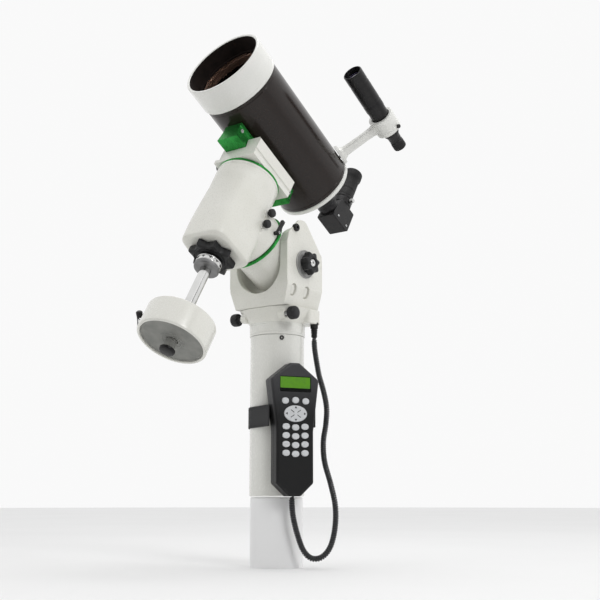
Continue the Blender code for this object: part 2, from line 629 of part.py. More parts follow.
# ================================================================ polar assembly, local Z up the polar axis
def build_polar_housing():
    front_inner = RA_FRONT - RA_FRONT_WALL
    rear_inner = RA_REAR + RA_REAR_WALL
    hole = BEARING_RADIUS + GAP
    edge = 0.002
    profile = [(hole, RA_REAR), (RA_REAR_RADIUS - edge, RA_REAR), (RA_REAR_RADIUS, RA_REAR + edge),
               (RA_REAR_RADIUS + 0.002, RA_DRUM_START - 0.025), (RA_DRUM_RADIUS, RA_DRUM_START - 0.010),
               (RA_DRUM_RADIUS, RA_FRONT - edge), (RA_DRUM_RADIUS - edge, RA_FRONT), (hole, RA_FRONT),
               (hole, front_inner), (RA_CAVITY_RADIUS, front_inner), (RA_CAVITY_RADIUS, WHEEL_CENTRE - 0.018),
               (RA_REAR_CAVITY_RADIUS, WHEEL_CENTRE - 0.022), (RA_REAR_CAVITY_RADIUS, rear_inner),
               (hole, rear_inner)]
    housing = finish(turned(profile, FINE, closed=True), "ra_housing", polar_frame, "enamel")
    for side in (-1.0, 1.0):
        hole_for_pin = rod(ALT_PIN_RADIUS + GAP, ALT_PIN_INNER - GAP, 0.06, MEDIUM)
        combine(housing, hole_for_pin, "DIFFERENCE", polar_frame, facing((side, 0.0, 0.0)))
    bore = RA_SHAFT_RADIUS + GAP
    front = RA_FRONT - 0.001
    finish(ring(BEARING_RADIUS, bore, front - BEARING_WIDTH, front, MEDIUM),
           "ra_bearing_front", polar_frame, "steel")
    finish(ring(BEARING_RADIUS, bore, RA_REAR + GAP, RA_REAR + BEARING_WIDTH, MEDIUM),
           "ra_bearing_rear", polar_frame, "steel")
    wheel_place = Matrix.Translation((0.0, 0.0, WHEEL_CENTRE))
    finish(ring(WHEEL_RADIUS, bore, -0.5 * WHEEL_WIDTH, 0.5 * WHEEL_WIDTH, MEDIUM),
           "ra_worm_wheel", polar_frame, "brass", wheel_place)
    worm_y = -(WHEEL_RADIUS + WORM_RADIUS + GAP)
    finish(rod(WORM_RADIUS, -WORM_HALF, WORM_HALF, COARSE, 0.001), "ra_worm", polar_frame, "steel",
           facing((1.0, 0.0, 0.0), (0.0, worm_y, WHEEL_CENTRE)))
    finish(rod(MOTOR_RADIUS, 0.0, MOTOR_LENGTH, COARSE, 0.001), "ra_motor", polar_frame, "aluminium",
           Matrix.Translation((0.0, -MOTOR_OFFSET, MOTOR_START)))


def build_polar_shaft():
    flange_top = RA_RING_START + RA_RING_THICK
    profile = [(RA_SHAFT_BORE, RA_SHAFT_REAR), (RA_SHAFT_RADIUS, RA_SHAFT_REAR),
               (RA_SHAFT_RADIUS, RA_RING_START), (RA_FLANGE_RADIUS, RA_RING_START),
               (RA_FLANGE_RADIUS, flange_top), (RA_SHAFT_BORE, flange_top)]
    finish(turned(profile, MEDIUM, closed=True), "ra_shaft", polar_frame, "steel")
    sight = turned([(0.0, SIGHT_REAR), (SIGHT_EYE_RADIUS, SIGHT_REAR), (SIGHT_EYE_RADIUS, RA_SHAFT_REAR - GAP),
                    (SIGHT_RADIUS, RA_SHAFT_REAR - GAP), (SIGHT_RADIUS, SIGHT_FRONT),
                    (0.0, SIGHT_FRONT)], COARSE)
    finish(sight, "polar_scope", polar_frame, "black_plastic")
    finish(ring(RA_RING_RADIUS, RA_FLANGE_RADIUS + GAP, RA_RING_START, flange_top, FINE),
           "ra_trim_ring", polar_frame, "green")
    lever = lofted([[(x, y, z) for x, y in
                     ((LEVER_OUT, -half), (LEVER_OUT + LEVER_THICK, -half),
                      (LEVER_OUT + LEVER_THICK, half), (LEVER_OUT, half))]
                    for z, half in ((-0.003, 0.0035), (0.004, 0.5 * LEVER_WIDTH),
                                    (0.6 * LEVER_LENGTH, 0.5 * LEVER_WIDTH), (LEVER_LENGTH, 0.0042))])
    stand = Matrix.Translation((0.0, 0.0, LEVER_ALONG)) @ Matrix.Rotation(-math.pi / 2.0, 4, "X")
    made = finish(lever, "ra_clutch_lever", polar_frame, "black_plastic", stand)
    stub = rod(0.0025, RA_NECK_RADIUS + GAP, LEVER_OUT + 0.001, COARSE)
    combine(made, stub, "UNION", polar_frame, facing((1.0, 0.0, 0.0), (0.0, 0.0, LEVER_ALONG)))


# ================================================================ declination head, local Z up the Dec axis
def head_loops():
    """The head's outer form: a rounded box below that blends into a round neck."""
    shapes = ((DEC_BOTTOM, 0.040, 0.040, 4.0), (DEC_BOTTOM + 0.006, DEC_HALF_WIDTH, DEC_HALF_DEPTH, 4.4),
              (-0.040, DEC_HALF_WIDTH + 0.001, DEC_HALF_DEPTH + 0.001, 4.2), (0.000, 0.048, 0.047, 3.6),
              (0.035, 0.050, 0.048, 2.8), (0.056, 0.0525, 0.052, 2.2),
              (0.066, NECK_RADIUS, NECK_RADIUS, 2.0), (DEC_TOP, NECK_RADIUS, NECK_RADIUS, 2.0))
    return [superellipse(half_x, half_y, power, FINE, z) for z, half_x, half_y, power in shapes]


def build_head():
    head = finish(lofted(head_loops()), "dec_housing", dec_frame, "enamel")
    neck_back = DEC_OFFSET - RA_RING_START - RA_RING_THICK - GAP
    neck = rod(RA_NECK_RADIUS, RA_NECK_START, neck_back, FINE)
    combine(head, neck, "UNION", dec_frame, facing((0.0, 1.0, 0.0)))
    seat = DEC_BEARING_RADIUS + GAP
    through = DEC_SHAFT_RADIUS + 0.002
    low_seat = DEC_BOTTOM + DEC_BEARING_WIDTH + GAP
    high_seat = DEC_TOP - DEC_BEARING_WIDTH - GAP
    hollow = [(0.0, DEC_BOTTOM - 0.01), (seat, DEC_BOTTOM - 0.01), (seat, low_seat), (through, low_seat),
              (through, DEC_CAVITY_BOTTOM), (DEC_CAVITY_RADIUS, DEC_CAVITY_BOTTOM),
              (DEC_CAVITY_RADIUS, DEC_CAVITY_TOP), (through, DEC_CAVITY_TOP), (through, high_seat),
              (seat, high_seat), (seat, DEC_TOP + 0.01), (0.0, DEC_TOP + 0.01)]
    combine(head, turned(hollow, MEDIUM), "DIFFERENCE", dec_frame)
    bore = DEC_SHAFT_RADIUS + GAP
    finish(ring(DEC_BEARING_RADIUS, bore, DEC_BOTTOM, DEC_BOTTOM + DEC_BEARING_WIDTH, MEDIUM),
           "dec_bearing_lower", dec_frame, "steel")
    finish(ring(DEC_BEARING_RADIUS, bore, DEC_TOP - DEC_BEARING_WIDTH, DEC_TOP, MEDIUM),
           "dec_bearing_upper", dec_frame, "steel")
    finish(ring(DEC_WHEEL_RADIUS, bore, -0.5 * WHEEL_WIDTH, 0.5 * WHEEL_WIDTH, MEDIUM),
           "dec_worm_wheel", dec_frame, "brass", Matrix.Translation((0.0, 0.0, DEC_WHEEL_CENTRE)))
    worm_y = DEC_WHEEL_RADIUS + WORM_RADIUS + GAP
    finish(rod(WORM_RADIUS, -WORM_HALF, WORM_HALF, COARSE, 0.001), "dec_worm", dec_frame, "steel",
           facing((1.0, 0.0, 0.0), (0.0, worm_y, DEC_WHEEL_CENTRE)))
    finish(rod(DEC_MOTOR_RADIUS, 0.0, DEC_MOTOR_LENGTH, COARSE, 0.001), "dec_motor", dec_frame, "aluminium",
           Matrix.Translation((0.0, DEC_MOTOR_OFFSET, DEC_MOTOR_START)))
    clutch = knob(lobed(CLUTCH_RADIUS, CLUTCH_LOBE, CLUTCH_LOBES, 48), CLUTCH_THICK, 0.003)
    made = finish(clutch, "dec_clutch_ring", dec_frame, "black_plastic",
                  Matrix.Translation((0.0, 0.0, CLUTCH_TOP - CLUTCH_THICK)))
    through_ring = rod(bore, CLUTCH_TOP - 2.0 * CLUTCH_THICK, CLUTCH_TOP + CLUTCH_THICK, MEDIUM)
    combine(made, through_ring, "DIFFERENCE", dec_frame)
    for name, height in THUMB_HEIGHTS.items():
        neck = 0.5 * THUMB_RADIUS
        head_low = THUMB_OUT + THUMB_NECK
        head_top = THUMB_OUT + THUMB_LENGTH
        profile = [(0.0, THUMB_OUT), (neck, THUMB_OUT), (neck, head_low), (THUMB_RADIUS, head_low),
                   (THUMB_RADIUS, head_top), (0.0, head_top)]
        finish(turned(profile, COARSE), "thumb_screw_" + name, dec_frame, "black_plastic",
               facing((1.0, 0.0, 0.0), (0.0, THUMB_BACK, height)))


def build_dec_shaft():
    flange_low = DEC_TOP + 2.0 * GAP
    flange_top = flange_low + DEC_RING_THICK
    socket_top = BAR_TOP + GAP
    socket = BAR_RADIUS + GAP
    profile = [(0.0, socket_top), (socket, socket_top), (socket, DEC_SHAFT_BOTTOM),
               (DEC_SHAFT_RADIUS, DEC_SHAFT_BOTTOM), (DEC_SHAFT_RADIUS, flange_low),
               (DEC_FLANGE_RADIUS, flange_low), (DEC_FLANGE_RADIUS, flange_top), (0.0, flange_top)]
    finish(turned(profile, MEDIUM), "dec_shaft", dec_frame, "steel")
    finish(ring(NECK_RADIUS, DEC_FLANGE_RADIUS + GAP, flange_low, flange_top, FINE),
           "dec_trim_ring", dec_frame, "green")


# ================================================================ saddle
def sideways():
    """A placing whose local Z runs up the polar axis, with local X across and local Y up the Dec axis."""
    return Matrix(((1.0, 0.0, 0.0, 0.0), (0.0, 0.0, -1.0, 0.0), (0.0, 1.0, 0.0, 0.0), (0.0, 0.0, 0.0, 1.0)))


def build_saddle():
    place = sideways()
    half = SADDLE_HALF_LENGTH
    flank = DOVETAIL_HALF_BOTTOM + GAP
    lip = DOVETAIL_HALF_TOP + GAP
    base = [(SADDLE_LEFT, SADDLE_BOTTOM), (SADDLE_RIGHT, SADDLE_BOTTOM), (SADDLE_RIGHT, SADDLE_TOP),
            (lip + 0.001, SADDLE_TOP), (flank, SADDLE_FLOOR), (-flank - JAW_BACK_GAP, SADDLE_FLOOR),
            (-flank - JAW_BACK_GAP, JAW_SPLIT), (SADDLE_LEFT, JAW_SPLIT)]
    saddle = finish(extruded(base, -half, half), "saddle_base", dec_frame, "enamel", place)
    step = -flank - JAW_BACK_GAP - 0.0005
    jaw = [(SADDLE_LEFT, JAW_SPLIT + GAP), (step, JAW_SPLIT + GAP), (step, SADDLE_FLOOR + GAP),
           (-flank, SADDLE_FLOOR + GAP), (-lip - 0.001, SADDLE_TOP), (SADDLE_LEFT, SADDLE_TOP)]
    jaw_length = SADDLE_KNOB_ALONG + JAW_END_REACH
    made = finish(extruded(jaw, -jaw_length, jaw_length), "saddle_jaw", dec_frame, "enamel", place)
    at_screw = facing((-1.0, 0.0, 0.0), (0.0, -SADDLE_KNOB_ALONG, SADDLE_KNOB_UP))
    hole = rod(SADDLE_SCREW_RADIUS + GAP, SADDLE_SCREW_TIP - 0.001, 0.06, COARSE)
    for target in (saddle, made):
        combine(target, hole.copy(), "DIFFERENCE", dec_frame, at_screw)
    hole.free()
    out = JAW_TRAVEL + GAP - SADDLE_LEFT
    profile = [(0.0, SADDLE_SCREW_TIP), (SADDLE_SCREW_RADIUS, SADDLE_SCREW_TIP),
               (SADDLE_SCREW_RADIUS, out), (SADDLE_KNOB_RADIUS, out),
               (SADDLE_KNOB_RADIUS, out + SADDLE_KNOB_LENGTH), (0.0, out + SADDLE_KNOB_LENGTH)]
    finish(turned(profile, COARSE), "saddle_knob", dec_frame, "black_plastic", at_screw)


# ================================================================ counterweight
def build_counterweight():
    lock_top = DEC_SHAFT_BOTTOM - GAP
    finish(rod(BAR_RADIUS, BAR_BOTTOM, BAR_TOP, MEDIUM, 0.0008), "counterweight_shaft", dec_frame, "steel")
    finish(ring(LOCK_NUT_RADIUS, BAR_RADIUS + GAP, lock_top - LOCK_NUT_LENGTH, lock_top, MEDIUM),
           "shaft_lock_nut", dec_frame, "steel")
    edge = WEIGHT_EDGE
    bore = BAR_RADIUS + 2.0 * GAP
    profile = [(bore, WEIGHT_BOTTOM + WEIGHT_RIM), (WEIGHT_RADIUS - 2.0 * edge, WEIGHT_BOTTOM + WEIGHT_RIM),
               (WEIGHT_RADIUS - edge, WEIGHT_BOTTOM), (WEIGHT_RADIUS, WEIGHT_BOTTOM + edge),
               (WEIGHT_RADIUS, WEIGHT_TOP - edge), (WEIGHT_RADIUS - edge, WEIGHT_TOP), (bore, WEIGHT_TOP)]
    weight = finish(turned(profile, FINE, closed=True), "counterweight", dec_frame, "enamel")
    radial = (math.cos(WEIGHT_KNOB_TURN), -math.sin(WEIGHT_KNOB_TURN), 0.0)
    at_knob = facing(radial, (0.0, 0.0, WEIGHT_KNOB_HEIGHT))
    hole = rod(WEIGHT_SCREW_RADIUS + GAP, 0.0, WEIGHT_RADIUS + 0.02, COARSE)
    combine(weight, hole, "DIFFERENCE", dec_frame, at_knob)
    out = WEIGHT_RADIUS + 0.001
    head = out + 0.6 * WEIGHT_KNOB_REACH
    profile = [(0.0, WEIGHT_SCREW_TIP), (WEIGHT_SCREW_RADIUS, WEIGHT_SCREW_TIP), (WEIGHT_SCREW_RADIUS, out),
               (WEIGHT_COLLAR_RADIUS, out), (WEIGHT_COLLAR_RADIUS, head), (0.0, head)]
    stem = finish(turned(profile, COARSE), "counterweight_knob", dec_frame, "aluminium", at_knob)
    bar = rod(WEIGHT_TEE_RADIUS, -WEIGHT_TEE_HALF, WEIGHT_TEE_HALF, COARSE, 0.001)
    across = at_knob @ Matrix.Translation((0.0, 0.0, head)) @ facing((1.0, 0.6, 0.0))
    combine(stem, bar, "UNION", dec_frame, across)
    finish(rod(BAR_CAP_RADIUS, BAR_BOTTOM - GAP - BAR_CAP_LENGTH, BAR_BOTTOM - GAP, MEDIUM, 0.001),
           "shaft_end_cap", dec_frame, "black_plastic")


# ================================================================ telescope, local Z towards the sky
def build_dovetail():
    low = SADDLE_FLOOR + GAP - SCOPE_HEIGHT
    neck = SADDLE_TOP - SCOPE_HEIGHT
    top = -TUBE_RADIUS - GAP
    wide = DOVETAIL_HALF_BOTTOM - GAP
    slim = DOVETAIL_HALF_TOP - GAP
    outline = [(-wide, low), (wide, low), (slim, neck), (slim, top), (-slim, top), (-slim, neck)]
    finish(extruded(outline, DOVETAIL_REAR, DOVETAIL_FRONT), "dovetail_bar", scope_frame, "green")


def build_tube():
    finish(ring(TUBE_RADIUS, TUBE_RADIUS - TUBE_WALL, TUBE_REAR, TUBE_FRONT, FINE),
           "telescope_tube", scope_frame, "black_tube")
    start = TUBE_FRONT + GAP
    end = start + FRONT_CELL_LENGTH
    edge = CELL_EDGE
    seat = start + CELL_SEAT
    profile = [(CORRECTOR_RADIUS - CELL_LIP, start), (FRONT_CELL_RADIUS - edge, start),
               (FRONT_CELL_RADIUS, start + edge), (FRONT_CELL_RADIUS, end - edge),
               (FRONT_CELL_RADIUS - edge, end), (CORRECTOR_RADIUS + 0.002, end),
               (CORRECTOR_RADIUS + GAP, seat + CELL_RETAINER), (CORRECTOR_RADIUS + GAP, seat),
               (CORRECTOR_RADIUS - CELL_LIP, seat)]
    finish(turned(profile, FINE, closed=True), "telescope_front_cell", scope_frame, "enamel")
    glass_low = seat + GAP
    bulge = CORRECTOR_BULGE
    lens = [(0.0, glass_low - bulge), (0.35 * CORRECTOR_RADIUS, glass_low - 0.88 * bulge),
            (0.7 * CORRECTOR_RADIUS, glass_low - 0.5 * bulge), (CORRECTOR_RADIUS - 0.004, glass_low),
            (CORRECTOR_RADIUS, glass_low), (CORRECTOR_RADIUS, glass_low + CORRECTOR_THICK),
            (0.7 * CORRECTOR_RADIUS, glass_low + CORRECTOR_THICK - 0.5 * bulge),
            (0.0, glass_low + CORRECTOR_THICK - bulge)]
    finish(turned(lens, MEDIUM), "telescope_corrector", scope_frame, "glass")
    rear = TUBE_REAR - GAP
    finish(ring(REAR_CELL_RADIUS, PORT_RADIUS, rear - REAR_CELL_THICK, rear, FINE),
           "telescope_rear_cell", scope_frame, "enamel")
    face = TUBE_REAR + GAP
    finish(turned([(PORT_RADIUS, face), (MIRROR_RADIUS, face), (MIRROR_RADIUS, face + MIRROR_THICK),
                   (0.6 * MIRROR_RADIUS, face + MIRROR_THICK - 0.002),
                   (PORT_RADIUS, face + MIRROR_THICK - 0.003)],
                  MEDIUM, closed=True), "telescope_mirror", scope_frame, "mirror")
    back = rear - REAR_CELL_THICK - GAP
    finish(rod(FOCUS_RADIUS, back - FOCUS_LENGTH, back, COARSE, 0.001), "telescope_focus_knob",
           scope_frame, "black_plastic", Matrix.Translation((FOCUS_X, FOCUS_Y, 0.0)))
    build_diagonal(back)


def build_diagonal(back):
    half = DIAGONAL_HALF
    outline = [(-half - 0.004, -half), (half, -half), (half, half), (-half, half + 0.002)]
    turn = Matrix(((0.0, 0.0, 1.0, 0.0), (0.0, 1.0, 0.0, 0.0), (-1.0, 0.0, 0.0, DIAGONAL_Z),
                   (0.0, 0.0, 0.0, 1.0)))
    body = finish(extruded(outline, -DIAGONAL_HALF_WIDTH, DIAGONAL_HALF_WIDTH),
                  "star_diagonal", scope_frame, "black_plastic", turn)
    combine(body, rod(DIAGONAL_TUBE, DIAGONAL_Z + 0.5 * half, back, MEDIUM), "UNION", scope_frame)
    combine(body, rod(DIAGONAL_TUBE, 0.5 * half, half + DIAGONAL_DRAW, MEDIUM), "UNION", scope_frame,
            facing((0.0, 1.0, 0.0), (0.0, 0.0, DIAGONAL_Z)))
    start = half + DIAGONAL_DRAW + GAP
    profile = [(0.0, start), (EYEPIECE_RADIUS, start), (EYEPIECE_RADIUS, EYEPIECE_TOP - 0.018),
               (EYE_CUP_RADIUS, EYEPIECE_TOP - 0.014), (EYE_CUP_RADIUS, EYEPIECE_TOP - 0.002),
               (EYE_CUP_RADIUS - 0.002, EYEPIECE_TOP), (0.010, EYEPIECE_TOP), (0.008, EYEPIECE_TOP - 0.006),
               (0.0, EYEPIECE_TOP - 0.006)]
    finish(turned(profile, MEDIUM), "eyepiece", scope_frame, "black_plastic",
           facing((0.0, 1.0, 0.0), (0.0, 0.0, DIAGONAL_Z)))


def build_finder():
    across = (math.cos(FINDER_TURN), math.sin(FINDER_TURN), 0.0)
    centre = Vector(across) * FINDER_REACH
    stalk_low = TUBE_RADIUS + GAP
    stalk_high = FINDER_REACH - FINDER_RING_RADIUS + 0.004
    half = FINDER_STALK_HALF
    wide = 1.7 * half
    loops = [[(-wide, -1.4 * half, z), (wide, -1.4 * half, z), (wide, 1.4 * half, z), (-wide, 1.4 * half, z)]
             for z in (stalk_low + 0.0015, stalk_low + FINDER_FOOT_THICK)]
    loops += [[(-half, -0.7 * half, z), (half, -0.7 * half, z), (half, 0.7 * half, z), (-half, 0.7 * half, z)]
              for z in (stalk_low + FINDER_FOOT_THICK + 0.006, stalk_high)]
    radial = Matrix(((0.0, across[1], across[0], 0.0), (0.0, -across[0], across[1], 0.0),
                     (1.0, 0.0, 0.0, FINDER_RING_CENTRE), (0.0, 0.0, 0.0, 1.0)))
    bracket = finish(lofted(loops), "finder_bracket", scope_frame, "enamel", radial)
    hoop = rod(FINDER_RING_RADIUS, FINDER_RING_CENTRE - FINDER_RING_HALF,
               FINDER_RING_CENTRE + FINDER_RING_HALF, MEDIUM, 0.002)
    place = Matrix.Translation((centre.x, centre.y, 0.0))
    combine(bracket, hoop, "UNION", scope_frame, place)
    combine(bracket, rod(FINDER_RADIUS + GAP, -0.2, 0.0, MEDIUM), "DIFFERENCE", scope_frame, place)
    lip = FINDER_RADIUS + 0.0008
    profile = [(0.0, FINDER_REAR), (FINDER_SLIM, FINDER_REAR), (FINDER_SLIM, FINDER_SLIM_END),
               (FINDER_RADIUS, FINDER_BODY_START), (FINDER_RADIUS, FINDER_BODY_END),
               (lip, FINDER_BODY_END + 0.004), (lip, FINDER_FRONT),
               (FINDER_RADIUS - 0.0015, FINDER_FRONT), (FINDER_RADIUS - 0.0030, FINDER_FRONT - 0.010),
               (0.0, FINDER_FRONT - 0.012)]
    finish(turned(profile, MEDIUM), "finder_scope", scope_frame, "black_plastic", place)


# ================================================================ hand controller, local Z out of the pier
def handset_outline(inset=0.0):
    """The controller's outline: pointed crown, wide shoulders, slim waist and cut corners below."""
    half = HANDSET_HALF_LENGTH - inset
    right = [(HANDSET_TAIL - 0.5 * inset, -half), (HANDSET_WAIST - inset, HANDSET_TAIL_RISE - half),
             (HANDSET_WAIST - inset, HANDSET_WAIST_Y), (HANDSET_SHOULDER - inset, HANDSET_SHOULDER_Y),
             (HANDSET_CROWN - 0.5 * inset, half)]
    left = [(-x, y) for x, y in reversed(right)]
    return right + left


def rectangle(half_x, low_y, high_y):
    return [(half_x, low_y), (half_x, high_y), (-half_x, high_y), (-half_x, low_y)]


def pad_loop(scale, z):
    return superellipse(PAD_HALF_WIDTH - scale, PAD_HALF_HEIGHT - scale, 2.0, COARSE, z, PAD_CENTRE)


def build_handset():
    depth = HANDSET_DEPTH
    edge = SHELL_EDGE
    outline = handset_outline()
    small = handset_outline(edge)
    hollow = handset_outline(SHELL_WALL)
    front = finish(lofted([[(x, y, GAP) for x, y in outline], [(x, y, depth - edge) for x, y in outline],
                           [(x, y, depth) for x, y in small]]),
                   "handset_front_shell", handset_frame, "black_plastic")
    combine(front, extruded(hollow, -0.01, depth - SHELL_WALL), "DIFFERENCE", handset_frame)
    display_low = DISPLAY_CENTRE - DISPLAY_HALF_HEIGHT
    display_high = DISPLAY_CENTRE + DISPLAY_HALF_HEIGHT
    openings = (rectangle(DISPLAY_HALF_WIDTH, display_low, display_high),
                rectangle(KEYPAD_HALF_WIDTH, *NUMBER_KEYS), rectangle(KEYPAD_HALF_WIDTH, *SOFT_KEYS),
                [(x, y) for x, y, z in pad_loop(0.0, 0.0)])
    for opening in openings:
        combine(front, extruded(opening, 0.001, depth + 0.01), "DIFFERENCE", handset_frame)
    rear = finish(lofted([[(x, y, -depth) for x, y in small], [(x, y, edge - depth) for x, y in outline],
                          [(x, y, -GAP) for x, y in outline]]),
                  "handset_rear_shell", handset_frame, "black_plastic")
    combine(rear, extruded(hollow, SHELL_WALL - depth, 0.01), "DIFFERENCE", handset_frame)
    display = rectangle(DISPLAY_HALF_WIDTH - GAP, display_low + GAP, display_high - GAP)
    finish(extruded(display, DISPLAY_BACK, depth - DISPLAY_SUNK), "handset_display", handset_frame, "glass")
    board = [(x * 0.9, y * 0.93) for x, y in handset_outline(2.0 * SHELL_WALL)]
    finish(extruded(board, BOARD_TOP - BOARD_THICK, BOARD_TOP), "handset_circuit_board", handset_frame, "board")
    build_keys(depth + KEY_PROUD)


def build_keys(key_top):
    """The rubber key mat with its two raised fields, and the rocking pad in its window."""
    mat_low = MAT_TOP - MAT_THICK
    mat = finish(extruded(rectangle(MAT_HALF_WIDTH, *MAT_RANGE), mat_low, MAT_TOP),
                 "handset_keypad", handset_frame, "key_rubber")
    for low, high in (NUMBER_KEYS, SOFT_KEYS):
        field = rectangle(KEYPAD_HALF_WIDTH - GAP, low + GAP, high - GAP)
        combine(mat, extruded(field, mat_low + 0.0005, key_top), "UNION", handset_frame)
    window = rectangle(PAD_HALF_WIDTH + PAD_ROOM_X, PAD_CENTRE - PAD_HALF_HEIGHT - PAD_ROOM_Y,
                       PAD_CENTRE + PAD_HALF_HEIGHT + PAD_ROOM_Y)
    combine(mat, extruded(window, 0.0, key_top + 0.01), "DIFFERENCE", handset_frame)
    finish(lofted([pad_loop(GAP, mat_low), pad_loop(GAP, key_top), pad_loop(0.002, key_top + PAD_CROWN)]),
           "handset_direction_pad", handset_frame, "key_rubber")


def build_strap():
    """The band runs round the pier's back, and its two ends hold the controller's sides."""
    flat = Vector((math.cos(HANDSET_TURN), math.sin(HANDSET_TURN)))
    side = Vector((-flat.y, flat.x))
    discs = [(Vector((0.0, 0.0)), PIER_RADIUS)]
    for sign in (-1.0, 1.0):
        discs.append((flat * HANDSET_REACH + side * sign * STRAP_HALF_WIDTH, STRAP_EDGE_RADIUS))
    count = STRAP_STEPS
    bm = bmesh.new()
    rows = []
    for offset in (2.0 * GAP, 2.0 * GAP + STRAP_THICK):
        for z in (STRAP_BOTTOM, STRAP_BOTTOM + STRAP_HEIGHT):
            row = []
            for i in range(count + 1):
                angle = HANDSET_TURN + STRAP_START + STRAP_SWEEP * i / count
                aim = Vector((math.cos(angle), math.sin(angle)))
                centre, radius = max(discs, key=lambda disc: disc[0].dot(aim) + disc[1])
                spot = centre + aim * (radius + offset)
                row.append(bm.verts.new((spot.x, spot.y, z)))
            rows.append(row)
    inner_low, inner_high, outer_low, outer_high = rows
    loop = (inner_low, inner_high, outer_high, outer_low)
    for first, second in zip(loop, loop[1:] + loop[:1]):
        for i in range(count):
            bm.faces.new((first[i], first[i + 1], second[i + 1], second[i]))
    for end in (0, count):
        bm.faces.new([row[end] for row in loop])
    finish(bm, "handset_strap", None, "webbing")


def smooth_route(points, spacing):
    """Evenly spaced points on a Catmull-Rom curve through the route."""
    nodes = [Vector(p) for p in points]
    nodes = [2.0 * nodes[0] - nodes[1]] + nodes + [2.0 * nodes[-1] - nodes[-2]]
    dense = []
    steps = 12
    for a, b, c, d in zip(nodes, nodes[1:], nodes[2:], nodes[3:]):
        for k in range(steps):
            t = k / steps
            dense.append(0.5 * (2.0 * b + (c - a) * t + (2.0 * a - 5.0 * b + 4.0 * c - d) * t * t
                                + (3.0 * b - a - 3.0 * c + d) * t ** 3))
    dense.append(nodes[-2])
    length = sum((q - p).length for p, q in zip(dense, dense[1:]))
    count = round(length / spacing)
    made = [dense[0]]
    travelled = 0.0
    for p, q in zip(dense, dense[1:]):
        step = (q - p).length
        while len(made) < count and travelled + step >= len(made) * length / count:
            share = (len(made) * length / count - travelled) / step
            made.append(p.lerp(q, share))
        travelled += step
    made.append(dense[-1])
    return made


def build_cord():
    points = smooth_route(CORD_ROUTE, CORD_SPACING)
    curve = bpy.data.curves.new("handset_cord", "CURVE")
    curve.dimensions = "3D"
    curve.bevel_depth = CORD_RADIUS
    curve.bevel_resolution = 2
    curve.use_fill_caps = True
    spline = curve.splines.new("POLY")
    spline.points.add(len(points) - 1)
    for knot, point in zip(spline.points, points):
        knot.co = (*point, 1.0)
    cord = bpy.data.objects.new("handset_cord", curve)
    curve.materials.append(material("handset_cord", *FINISHES["black_plastic"]))
    bpy.context.scene.collection.objects.link(cord)
    low = RELIEF_TOP - RELIEF_LENGTH
    profile = [(0.0, low), (CORD_RADIUS + GAP, low), (CORD_RADIUS * 1.25, low + RELIEF_TAPER),
               (RELIEF_RADIUS, low + RELIEF_TAPER + 0.002), (RELIEF_RADIUS, RELIEF_TOP), (0.0, RELIEF_TOP)]
    finish(turned(profile, COARSE), "cord_strain_relief", None, "black_plastic",
           Matrix.Translation((CORD_X, CORD_Y, 0.0)))


# ================================================================ the whole mount
for old in list(bpy.data.objects):
    bpy.data.objects.remove(old, do_unlink=True)

azimuth_frame = empty("azimuth_frame", (0.0, 0.0, 0.0))
polar_frame = empty("polar_frame", ALT_PIVOT, math.pi / 2.0 - LATITUDE)
dec_frame = empty("dec_frame", along_pole(DEC_OFFSET), -LATITUDE)
scope_centre = along_pole(DEC_OFFSET) + SCOPE_HEIGHT * Vector((0.0, math.sin(LATITUDE), math.cos(LATITUDE)))
scope_frame = empty("scope_frame", scope_centre, math.pi / 2.0 - LATITUDE)
handset_frame = empty("handset_frame", (HANDSET_REACH * math.cos(HANDSET_TURN),
                                        HANDSET_REACH * math.sin(HANDSET_TURN),
                                        HANDSET_BOTTOM + HANDSET_HALF_LENGTH),
                      math.pi / 2.0, HANDSET_TURN + math.pi / 2.0)
bpy.context.view_layer.update()

build_pier()
build_fork()
build_polar_housing()
build_polar_shaft()
build_head()
build_dec_shaft()
build_saddle()
build_counterweight()
build_dovetail()
build_tube()
build_finder()
build_handset()
build_strap()
build_cord()
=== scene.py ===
"""Looks of the equatorial mount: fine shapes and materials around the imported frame.

Shapes are drawn in millimetres, in the axes of the assembly they belong to, and turned into
metres when a piece is made. The assemblies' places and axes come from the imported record.
"""

import json
import math

import bmesh
import bpy
from mathutils import Matrix, Vector


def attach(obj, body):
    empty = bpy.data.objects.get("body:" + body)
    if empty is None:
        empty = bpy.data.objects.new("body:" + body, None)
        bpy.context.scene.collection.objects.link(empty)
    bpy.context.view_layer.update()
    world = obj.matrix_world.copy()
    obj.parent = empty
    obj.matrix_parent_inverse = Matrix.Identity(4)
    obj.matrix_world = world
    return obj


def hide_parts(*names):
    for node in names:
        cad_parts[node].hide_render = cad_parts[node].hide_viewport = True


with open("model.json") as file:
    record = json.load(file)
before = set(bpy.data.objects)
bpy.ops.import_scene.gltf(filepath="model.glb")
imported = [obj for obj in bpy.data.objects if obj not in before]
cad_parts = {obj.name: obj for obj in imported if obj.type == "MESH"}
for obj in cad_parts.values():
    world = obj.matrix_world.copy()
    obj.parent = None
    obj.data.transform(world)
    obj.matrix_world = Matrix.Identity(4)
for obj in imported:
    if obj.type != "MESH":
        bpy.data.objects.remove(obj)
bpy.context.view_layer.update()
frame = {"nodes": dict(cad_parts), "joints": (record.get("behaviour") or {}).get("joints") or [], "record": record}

MM = 0.001
GAP = 0.3                 # between touching pieces
ROUND = 96                # sides of a large round piece
SMALL = 40                # sides of a small round piece
SCOPE_HEIGHT = 206.0      # tube axis above the polar axis
TAU = 2.0 * math.pi

JOINTS = {joint["name"]: joint for joint in frame["joints"]}
NODE_BODY = {name: body for body, names in frame["record"]["behaviour"]["bodies"].items() for name in names}


# ======== camera
EYE = Vector((1.0424, -1.3019, 0.0))
AIM = Vector((0.0260, 0.0290, 0.3290))
LENS = 60.0


